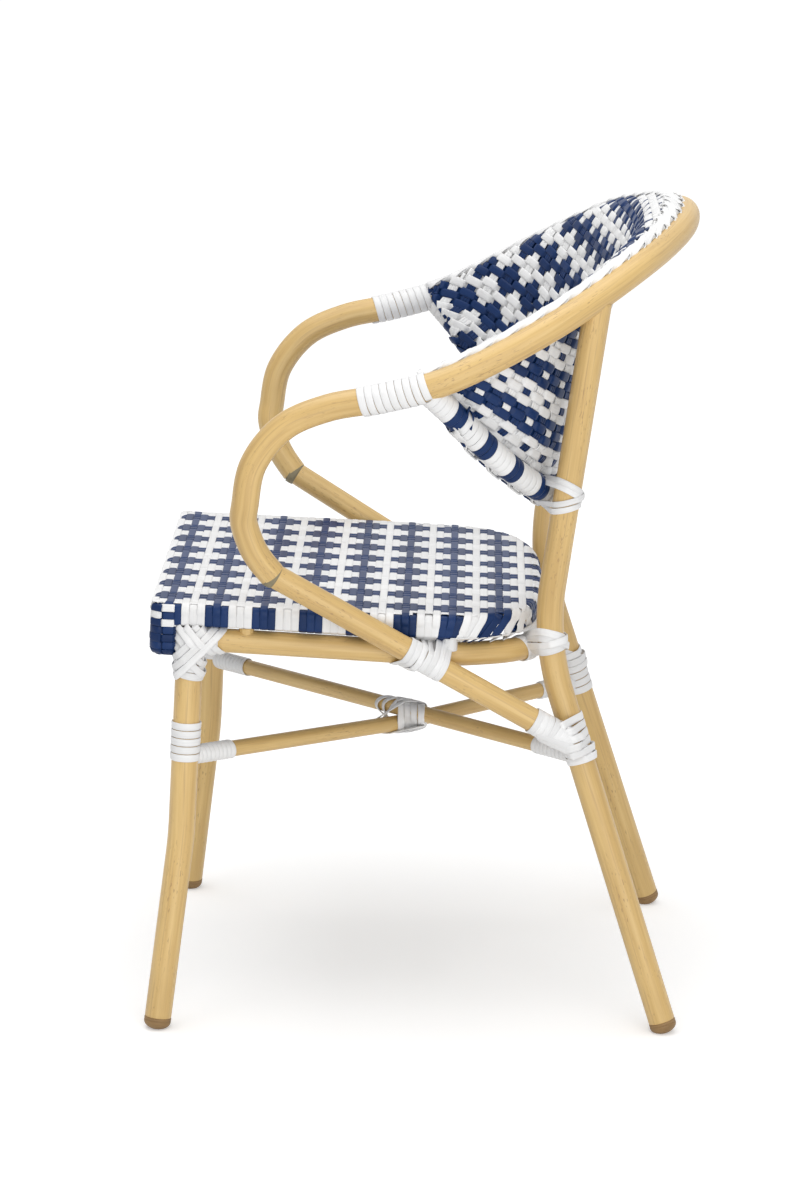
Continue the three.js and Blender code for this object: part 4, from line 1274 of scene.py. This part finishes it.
def back_single(index, piles):
    height = BACK_FIRST + index * BACK_PITCH
    reach = float(back_reach(max(height, 0)))
    across = np.linspace(-reach, reach, max(LEAST_PLACES, int(reach / BACK_SINGLE_STEP)))
    points, facing = back_place(across, np.full(len(across), height))
    rise = weave_height(across / back_lean(height) / BACK_GROUP_PITCH,
                        lambda group: over_if_even(group + index), 0.0, BACK_SINGLE_TURN)
    add_strip(piles["white" if index % COLOUR_PERIOD < COLOUR_RUN else "blue"],
              points + facing * (rise * BACK_SINGLE_RISE)[:, None], facing,
              BACK_PITCH + BACK_SINGLE_OVERLAP, BACK_SINGLE_THICKNESS, section=DOMED_SECTION)


def back_row(group, strand, top, piles):
    place = group * BACK_GROUP_PITCH + strand * BACK_STRAND_SPACING
    bottom = BACK_FIRST + (BACK_LOWEST_ROW - BACK_LOWEST_SHARE) * BACK_PITCH
    heights = np.arange(bottom, top, STRAND_STEP)
    heights = heights[np.abs(place * back_lean(heights)) < back_reach(np.clip(heights, 0, None))]
    if len(heights) < LEAST_STRAND:
        return
    points, facing = back_place(place * back_lean(heights), heights)
    rise = group_height(heights - BACK_FIRST, group, BACK_PITCH)
    add_strip(piles[colour_of_group(group)], points + facing * (rise * BACK_GROUP_RISE)[:, None],
              facing, BACK_STRAND_SPACING + BACK_GROUP_OVERLAP, STRAND_THICKNESS)


def build_back():
    piles = {"blue": Pile(), "white": Pile()}
    top = (len(back_rows) - 1 - TOP_MARGIN) * LEVEL_STEP
    for index in range(BACK_LOWEST_ROW, int((top - BACK_FIRST) / BACK_PITCH) + 1):
        back_single(index, piles)
    groups = int(max(ROW_REACHES) / BACK_GROUP_PITCH) + 1
    for group in range(-groups, groups + 1):
        for strand in GROUP_STRANDS:
            back_row(group, strand, top, piles)
    build_pair(piles, "back_{}_strands", "back_weave")


# Windings: one unbroken strand round a bar, or round the border

def wind(piles, centre_at, outline_at, turns, pitch, width, thickness=WRAP_THICKNESS, steps=WIND_STEPS,
         lean=0.0, colour_at=None, phase=0.0):
    """Winds a strand from one pile, or from two in turn where colour_at tells each turn's.

    centre_at gives the place, direction and two cross directions at a distance along the
    winding, and outline_at the reach of the bar at an angle round it.
    """
    turn = np.arange(int(turns * steps) + 1) / steps
    s = turn * pitch
    centre, along, first, second = centre_at(s)
    angle = 2 * math.pi * turn + phase
    direction = first * np.cos(angle)[:, None] + second * np.sin(angle)[:, None]
    points = centre + direction * (outline_at(s, angle) + thickness / 2)[:, None]
    normals = turned_to(unit(np.cross(tangents(points), along)), direction)
    colours = [colour_at(int(t)) for t in turn] if colour_at else [None] * len(turn)
    start = 0
    for i in range(1, len(turn) + 1):
        if i == len(turn) or colours[i] != colours[start]:
            end = min(i + 1, len(turn))
            pile = piles[colours[start]] if colour_at else piles
            add_strip(pile, points[start:end], normals[start:end], width, thickness, lean=lean)
            start = i


def curve_frames(points, start, sense=1):
    ladder = lengths_along(points)
    path, normal = tangents(points), carried_normals(points)

    def centre_at(s):
        distance = start + sense * s
        along = unit(between(distance, ladder, path))
        first = square_to(between(distance, ladder, normal), along)
        return point_at(points, distance), along, first, np.cross(along, first)

    return centre_at


def round_bar(radius):
    return lambda s, angle: np.full(len(angle), float(radius))


def build_arm_wraps():
    for name, side in SIDES:
        pile = Pile()
        frames = curve_frames(on_side(side, hoop), hoop_place(ARM_WRAP_BACK) - ARM_WRAP_LEAD)
        wind(pile, frames, round_bar(HOOP_RADIUS), **ARM_WRAP)
        pile.build(f"arm_lashing_{name}", white_strand, "strand", f"arm_wrap_{name}")


def build_stretcher_wraps():
    for name, points in (("low", low_stretcher), ("high", high_stretcher)):
        far_start = lengths_along(points)[-1] - STRETCHER_WRAP_START
        for end, start, sense in (("front", STRETCHER_WRAP_START, 1), ("rear", far_start, -1)):
            pile = Pile()
            wind(pile, curve_frames(points, start, sense), round_bar(STRETCHER_RADIUS), **STRETCHER_WRAP)
            pile.build(f"{name}_stretcher_lashing_{end}", white_strand, "strand",
                       f"{name}_stretcher_wrap_{end}")


def build_back_rail():
    core = Pile()
    inner = BACK_RAIL_RADIUS - WRAP_THICKNESS
    add_tube(core, back_rail, inner, sides=CORE_SIDES)
    core.build("back_rail_core", bare_metal, "weave", "lower_back_rail")
    piles = {"blue": Pile(), "white": Pile()}
    start = HOOP_RADIUS - BACK_RAIL_SHIFT
    turns = (lengths_along(back_rail)[-1] - 2 * start) / BACK_RAIL_WRAP["pitch"]
    cycle = BACK_RAIL_WHITE_TURNS + BACK_RAIL_BLUE_TURNS
    wind(piles, curve_frames(back_rail, start), round_bar(inner), turns, **BACK_RAIL_WRAP,
         colour_at=lambda turn: "blue" if turn % cycle >= BACK_RAIL_WHITE_TURNS else "white")
    build_pair(piles, "back_rail_{}_wrap", "lower_back_rail")


def build_border():
    """Strands laced at a shallow angle round the sheet's top edge and over the hoop."""
    pile = Pile()
    start = hoop_place(BACK_SHEET_START)
    length = hoop_length - 2 * start
    skin = LACING["thickness"] / 2

    def section_at(s):
        reach = border_reach(start + s)
        inner = np.stack([reach, np.full_like(reach, BORDER_INNER_RISE)], axis=-1)
        across = inner - BORDER_OUTER
        return (BORDER_OUTER + inner) / 2, unit(across), np.linalg.norm(across, axis=1) / 2

    def centre_at(s):
        centre, along, inward, upward = hoop_frames(start + s)
        middle, across, _ = section_at(s)
        outward = upward * across[:, 0:1] - inward * across[:, 1:2]
        sideways = inward * across[:, 0:1] + upward * across[:, 1:2]
        return centre + inward * middle[:, 0:1] + upward * middle[:, 1:2], along, outward, sideways

    def outline_at(s, angle):
        a, b = BORDER_THICKNESS / 2 - skin, section_at(s)[2] - skin
        return a * b / np.sqrt((b * np.cos(angle)) ** 2 + (a * np.sin(angle)) ** 2)

    s = np.arange(0, length, BORDER_CORE_STEP)
    centre, _, outward, sideways = centre_at(s)
    angle = circle(BORDER_CORE_SIDES)
    reach = np.array([outline_at(s, np.full(len(s), a)) for a in angle]).T
    core = centre[:, None] + spokes(outward, sideways, angle) * reach[..., None]
    pile.add(core, ring_faces(len(s), len(angle)), core)
    for strand in range(BORDER_STARTS):
        wind(pile, centre_at, outline_at, length / LACING["pitch"], **LACING,
             phase=2 * math.pi * strand / BORDER_STARTS)
    pile.build("border_lacing", white_strand, "strand", "back_border")


# Lashings: taut closed loops over clouds of surface points, each loop laid over the ones before

def bar_cloud(points, radius, start, end):
    """Points on a stretch of a round bar, with the way that each faces."""
    axis = part_of(points, start, end, 1.0)
    normals = carried_normals(axis)
    ring = spokes(normals, np.cross(tangents(axis), normals), circle(CLOUD_SIDES))
    return (axis[:, None] + ring * radius).reshape(-1, 3), ring.reshape(-1, 3)


def hull_order(flat):
    """The order of the flat points that lie on their convex outline."""
    order = np.lexsort((flat[:, 1], flat[:, 0]))

    def chain(indices):
        out = []
        for i in indices:
            while len(out) > 1:
                a, b = flat[out[-1]] - flat[out[-2]], flat[i] - flat[out[-2]]
                if a[0] * b[1] - a[1] * b[0] > 0:
                    break
                out.pop()
            out.append(i)
        return out[:-1]

    return chain(order) + chain(order[::-1])


class Lashing:
    """Loops over the surfaces of some bars; finished loops join the surfaces."""

    def __init__(self, *clouds):
        self.pile = Pile()
        self.points = np.vstack([cloud[0] for cloud in clouds])
        self.facing = np.vstack([cloud[1] for cloud in clouds])

    def loop(self, place, normal, width=LASH_WIDTH, reach=LASH_REACH, only=None):
        """A taut loop in the plane at that place with that normal, round the given bars."""
        normal = unit(normal)
        side = unit(np.cross(normal, off_axis(normal)))
        up = np.cross(normal, side)
        points, facing = (self.points, self.facing) if only is None else only
        offset = points - place
        near = (abs(offset @ normal) < LOOP_SLICE) & (np.linalg.norm(offset, axis=1) < reach)
        flat = np.stack([offset[near] @ side, offset[near] @ up], axis=-1)
        order = hull_order(flat)
        order.append(order[0])
        ring = np.hstack([flat[order], facing[near][order]])
        along = lengths_along(ring[:, :2])
        count = max(LOOP_LEAST, int(along[-1] / LOOP_STEP))
        ring = between(np.linspace(0, along[-1], count, endpoint=False), along, ring)
        ring = (np.roll(ring, 1, axis=0) + 2 * ring + np.roll(ring, -1, axis=0)) / 4
        forward = looped_tangents(ring[:, :2])
        outward = side * forward[:, 1:2] - up * forward[:, 0:1]
        centre = place + side * ring[:, 0:1] + up * ring[:, 1:2] + outward * LASH_THICKNESS * LASH_LIFT
        face = unit(unit(ring[:, 2:5]) + outward)
        add_strip(self.pile, centre, face, width, LASH_THICKNESS, closed=True, lean=LASH_LEAN)
        across = np.cross(looped_tangents(centre), face)
        layers = [centre + face * LASH_THICKNESS / 2 + across * share * width
                  for share in np.linspace(-0.5, 0.5, LOOP_LAYERS)]
        self.points = np.vstack([self.points, *layers])
        self.facing = np.vstack([self.facing] + [face] * len(layers))

    def build(self, name, *nodes):
        for (side_name, _), pile in zip(SIDES, (self.pile, self.pile.mirrored())):
            pile.build(f"{name}_{side_name}", white_strand, "strand",
                       *[f"{node_name}_{side_name}" for node_name in nodes])


def slope(degrees):
    """Normal of a plane across the chair whose trace climbs backwards at that angle."""
    angle = math.radians(degrees)
    return vec(0, math.sin(angle), -math.cos(angle))


def build_leg_bands():
    lashing = Lashing(bar_cloud(front_leg, LEG_RADIUS, LEG_BAND_SPAN_START, front_leg_length))
    for height in LEG_BAND_ROWS:
        lashing.loop(front_leg_at(height), FRONT_TOP - FRONT_KNEE)
    lashing.build("leg_lashing", "leg_band")


def build_corner_lashings():
    top = front_leg[-1] + unit(front_leg[-1] - front_leg[-2]) * CORNER_TOP_RISE
    leg = bar_cloud(np.vstack([front_leg, top]), LEG_RADIUS, CORNER_SPAN_START,
                    front_leg_length + CORNER_TOP_RISE)
    rail_part = bar_cloud(rail, RAIL_RADIUS, *CORNER_RAIL_SPAN)
    lashing = Lashing(leg, rail_part)
    for rows, angle in ((CORNER_LOW_ROWS, CORNER_LOW_SLOPE), (CORNER_ROWS, 0)):
        for height in rows:
            lashing.loop(front_leg_at(height), slope(angle), only=leg)
    (front_width, front_back), (side_width, side_back), _ = RAIL_CORNERS
    for back in CORNER_RAIL_ROWS:
        share = (back - front_back) / (side_back - front_back)
        place = rail_point(front_width - (front_width - side_width) * share, back)
        lashing.loop(place, tangents(rail)[CORNER_RAIL_POINT], only=rail_part)
    for angle, offset in CORNER_CROSSES:
        lashing.loop(CORNER_JOINT + slope(angle) * offset, slope(angle), width=CORNER_CROSS_WIDTH)
    lashing.build("corner_lashing", "corner_leg_wrap", "corner_rail_wrap")


def build_brace_lashings():
    rail_part = bar_cloud(rail, RAIL_RADIUS, *BRACE_RAIL_SPAN)
    lashing = Lashing(bar_cloud(brace, BRACE_RADIUS, *BRACE_SPAN), rail_part)
    for back in BRACE_RAIL_ROWS:
        lashing.loop(rail_point(BRACE_RAIL_HALF_WIDTH, back), tangents(rail)[BRACE_RAIL_POINT],
                     only=rail_part)
    lashing.loop(brace[0] + brace_way * BRACE_SLANT_PLACE, brace_way + BRACE_SLANT)
    for distance in BRACE_TURNS:
        lashing.loop(brace[0] + brace_way * distance, brace_way, width=BRACE_TURN_WIDTH)
    lashing.build("brace_lashing")


def build_fan_lashings():
    """Turns round each brace's foot, then sloping loops and level rows over brace and leg."""
    upright = turned_to(unit(np.cross(vec(1, 0, 0), brace_way)), UP)
    foot = bar_cloud(brace, BRACE_RADIUS, *FAN_FOOT_SPAN)
    for name, drop in FAN_DROPS.items():
        lashing = Lashing(bar_cloud(rear_leg, LEG_RADIUS, *FAN_LEG_SPAN),
                          bar_cloud(brace, BRACE_RADIUS, *FAN_BRACE_SPAN))
        for lower in FAN_LONG_LOOPS:
            lashing.loop(brace[0] + brace_way * FAN_LONG_PLACE - upright * lower,
                         upright + brace_way * FAN_LONG_TILT, reach=FAN_LONG_REACH)
        for distance, tilt in FAN_TURNS:
            lashing.loop(brace[0] + brace_way * distance, brace_way + upright * tilt, only=foot,
                         reach=FAN_TURN_REACH, width=FAN_TURN_WIDTH)
        for height in FAN_ROWS:
            lashing.loop(rear_leg_at(height - drop), WAIST - REAR_FOOT, reach=FAN_ROW_REACH,
                         width=FAN_ROW_WIDTH)
        pile = lashing.pile if name == "left" else lashing.pile.mirrored()
        pile.build(f"fan_lashing_{name}", white_strand, "strand")


def cross_loops(lashing, place, loops, width):
    """Loops at heights over one place, each tilted sideways and backwards."""
    for height, across, back in loops:
        lashing.loop(vec(*place, height), vec(-across, -back, 1), reach=POST_REACH, width=width)


def build_post_lashings():
    """Crossed loops where the rear legs pass the seat rail and the lower back rail."""
    lashing = Lashing(bar_cloud(rear_leg, LEG_RADIUS, *POST_SPAN),
                      bar_cloud(rail, RAIL_RADIUS, *POST_RAIL_SPAN))
    cross_loops(lashing, POST_PLACE, POST_LOOPS, LASH_WIDTH)
    rail_way = tangents(rail)[int(POST_RAIL_WAY / lengths_along(rail)[-1] * len(rail))]
    rail_part = bar_cloud(rail, RAIL_RADIUS, *POST_RAIL_ROW_SPAN)
    for distance, tilt in POST_RAIL_ROWS:
        lashing.loop(point_at(rail, distance), rail_way + vec(0, 0, tilt), only=rail_part,
                     reach=POST_RAIL_REACH)
    lashing.build("post_lashing")

    lashing = Lashing(bar_cloud(rear_leg, LEG_RADIUS, *HIGH_POST_SPAN),
                      bar_cloud(back_rail, BACK_RAIL_RADIUS, *HIGH_POST_RAIL_SPAN))
    cross_loops(lashing, HIGH_POST_PLACE, HIGH_POST_LOOPS, HIGH_POST_WIDTH)
    rail_part = bar_cloud(back_rail, BACK_RAIL_RADIUS, *HIGH_POST_RAIL_ROW_SPAN)
    for distance in HIGH_POST_RAIL_ROWS:
        lashing.loop(point_at(back_rail, distance), way_at(back_rail, distance, 2), only=rail_part,
                     reach=HIGH_POST_RAIL_REACH)
    lashing.build("back_rail_lashing")


def build_crossing_lashing():
    """Loops over the crossing of the stretchers, then loops over those the other way."""
    middles, clouds = [], []
    for bar in (low_stretcher, high_stretcher):
        middle = np.argmin(np.abs(bar[:, 0]))
        at = lengths_along(bar)[middle]
        middles.append(bar[middle])
        clouds.append(bar_cloud(bar, STRETCHER_RADIUS, *(at + end for end in CROSSING_SPAN)))
    lashing = Lashing(*clouds)
    centre = (middles[0] + middles[1]) / 2
    for way, places in ((vec(0, 1, 0), CROSSING_BACKS), (vec(1, 0, 0), CROSSING_SIDES)):
        for place in places:
            lashing.loop(centre + way * place, way, reach=CROSSING_REACH)
    lashing.pile.build("crossing_lashing", white_strand, "strand")


def build_joint_sleeves():
    """The open end of the hoop, where each brace is pushed in. The end face is real, and its dark olive
    colour is painted shade of the step and gap round the brace.
    """
    rings = turned(brace[-1], brace_way, UP, SLEEVE_PROFILE)
    for name, side in SIDES:
        pile = Pile()
        pile.add(on_side(side, rings), ring_faces(len(rings), TURNED_SIDES), rings)
        pile.build(f"joint_sleeve_{name}", joint_end_painted_shade, "plug")


def carry_over_materials():
    """Dresses the CAD's own solids, some of which stay in view."""
    chosen = {"plug": black_plastic, "bare_tube": bare_metal, "bamboo": bamboo,
              "weave": white_strand, "strand": white_strand, "glide": glide_plastic}
    slots = {part["node"]: part["material_slot"] for part in frame["record"]["subparts"]}
    for name, item in frame["nodes"].items():
        material = chosen[slots[name]]
        if name.startswith("seat_spacer"):
            material = white_strand if "_2_" in name else bamboo
        item.data.materials.clear()
        item.data.materials.append(material)


# Floor, light and camera

def seen_by_eye(tree):
    """One for rays straight from the camera, off a glossy surface or through a clear one."""
    path = tree.nodes.new("ShaderNodeLightPath")
    seen = maths(tree, "MAXIMUM", path.outputs["Is Camera Ray"], path.outputs["Is Glossy Ray"])
    return maths(tree, "MAXIMUM", seen, path.outputs["Is Transmission Ray"])


def build_floor():
    mesh = bpy.data.meshes.new("floor")
    corners = [(-1, -1), (1, -1), (1, 1), (-1, 1)]
    mesh.from_pydata([(x * FLOOR_SIZE, y * FLOOR_SIZE, 0) for x, y in corners], [], [(0, 1, 2, 3)])
    floor = linked("floor", mesh)
    material = bpy.data.materials.new("floor_paper")
    material.use_nodes = True
    tree = material.node_tree
    tree.nodes.clear()
    paper = node(tree, "ShaderNodeBsdfDiffuse", Color=grey(FLOOR_GREY))
    distance = tree.nodes.new("ShaderNodeVectorMath")
    distance.operation = "LENGTH"
    connect(tree, tree.nodes.new("ShaderNodeTexCoord").outputs["Object"], distance.inputs[0])
    glow = node(tree, "ShaderNodeMapRange", Value=distance.outputs["Value"], From_Min=GLOW_START,
                From_Max=GLOW_END, To_Min=GLOW_NEAR, To_Max=GLOW_FAR)
    strength = maths(tree, "MULTIPLY", seen_by_eye(tree), glow.outputs[0])
    light = node(tree, "ShaderNodeEmission", Strength=strength)
    both = tree.nodes.new("ShaderNodeAddShader")
    connect(tree, paper.outputs[0], both.inputs[0])
    connect(tree, light.outputs[0], both.inputs[1])
    node(tree, "ShaderNodeOutputMaterial", Surface=both.outputs[0])
    mesh.materials.append(material)


def build_world():
    world = bpy.data.worlds.new("studio")
    bpy.context.scene.world = world
    world.use_nodes = True
    tree = world.node_tree
    strength = node(tree, "ShaderNodeMapRange", Value=seen_by_eye(tree), To_Min=ROOM_LIGHT, To_Max=1.0)
    background = tree.nodes["Background"]
    connect(tree, grey(1), background.inputs["Color"])
    connect(tree, strength.outputs[0], background.inputs["Strength"])


def stand(item, right, up, back, place):
    rows = [[right[i], up[i], back[i], place[i]] for i in range(3)]
    item.matrix_world = Matrix(rows + [[0, 0, 0, 1]])


def build_lamp(name, place, size, power):
    data = bpy.data.lights.new(name, "AREA")
    data.shape = "SQUARE"
    data.size = size
    data.energy = power
    back = unit(vec(*place) - vec(*LAMP_AIM))
    right = unit(np.cross(LAMP_SIDE, back))
    stand(linked(name, data), right, np.cross(back, right), back, place)


def build_camera():
    azimuth, elevation, roll = (math.radians(angle) for angle in (
        CAMERA_AZIMUTH, CAMERA_ELEVATION, CAMERA_ROLL))
    back = vec(math.sin(azimuth) * math.cos(elevation), -math.cos(azimuth) * math.cos(elevation),
               math.sin(elevation))
    level = unit(np.cross(-back, UP))
    upright = np.cross(level, -back)
    right = level * math.cos(roll) + upright * math.sin(roll)
    up = upright * math.cos(roll) - level * math.sin(roll)
    data = bpy.data.cameras.new("camera")
    data.lens = CAMERA_LENS
    data.sensor_width = CAMERA_SENSOR
    data.clip_end = CAMERA_FAR
    camera = linked("camera", data)
    stand(camera, right, up, back, to_scene(CAMERA_TARGET + back * CAMERA_DISTANCE))
    bpy.context.scene.camera = camera


build_camera()
build_world()
build_floor()
build_lamp("key_lamp", *KEY_LAMP)
build_lamp("fill_lamp", *FILL_LAMP)
carry_over_materials()
build_frame_tubes()
build_glides()
build_seat()
build_back()
build_back_rail()
build_border()
build_arm_wraps()
build_leg_bands()
build_corner_lashings()
build_brace_lashings()
build_fan_lashings()
build_post_lashings()
build_crossing_lashing()
build_joint_sleeves()
build_stretcher_wraps()

bpy.context.scene.view_settings.view_transform = "Standard"
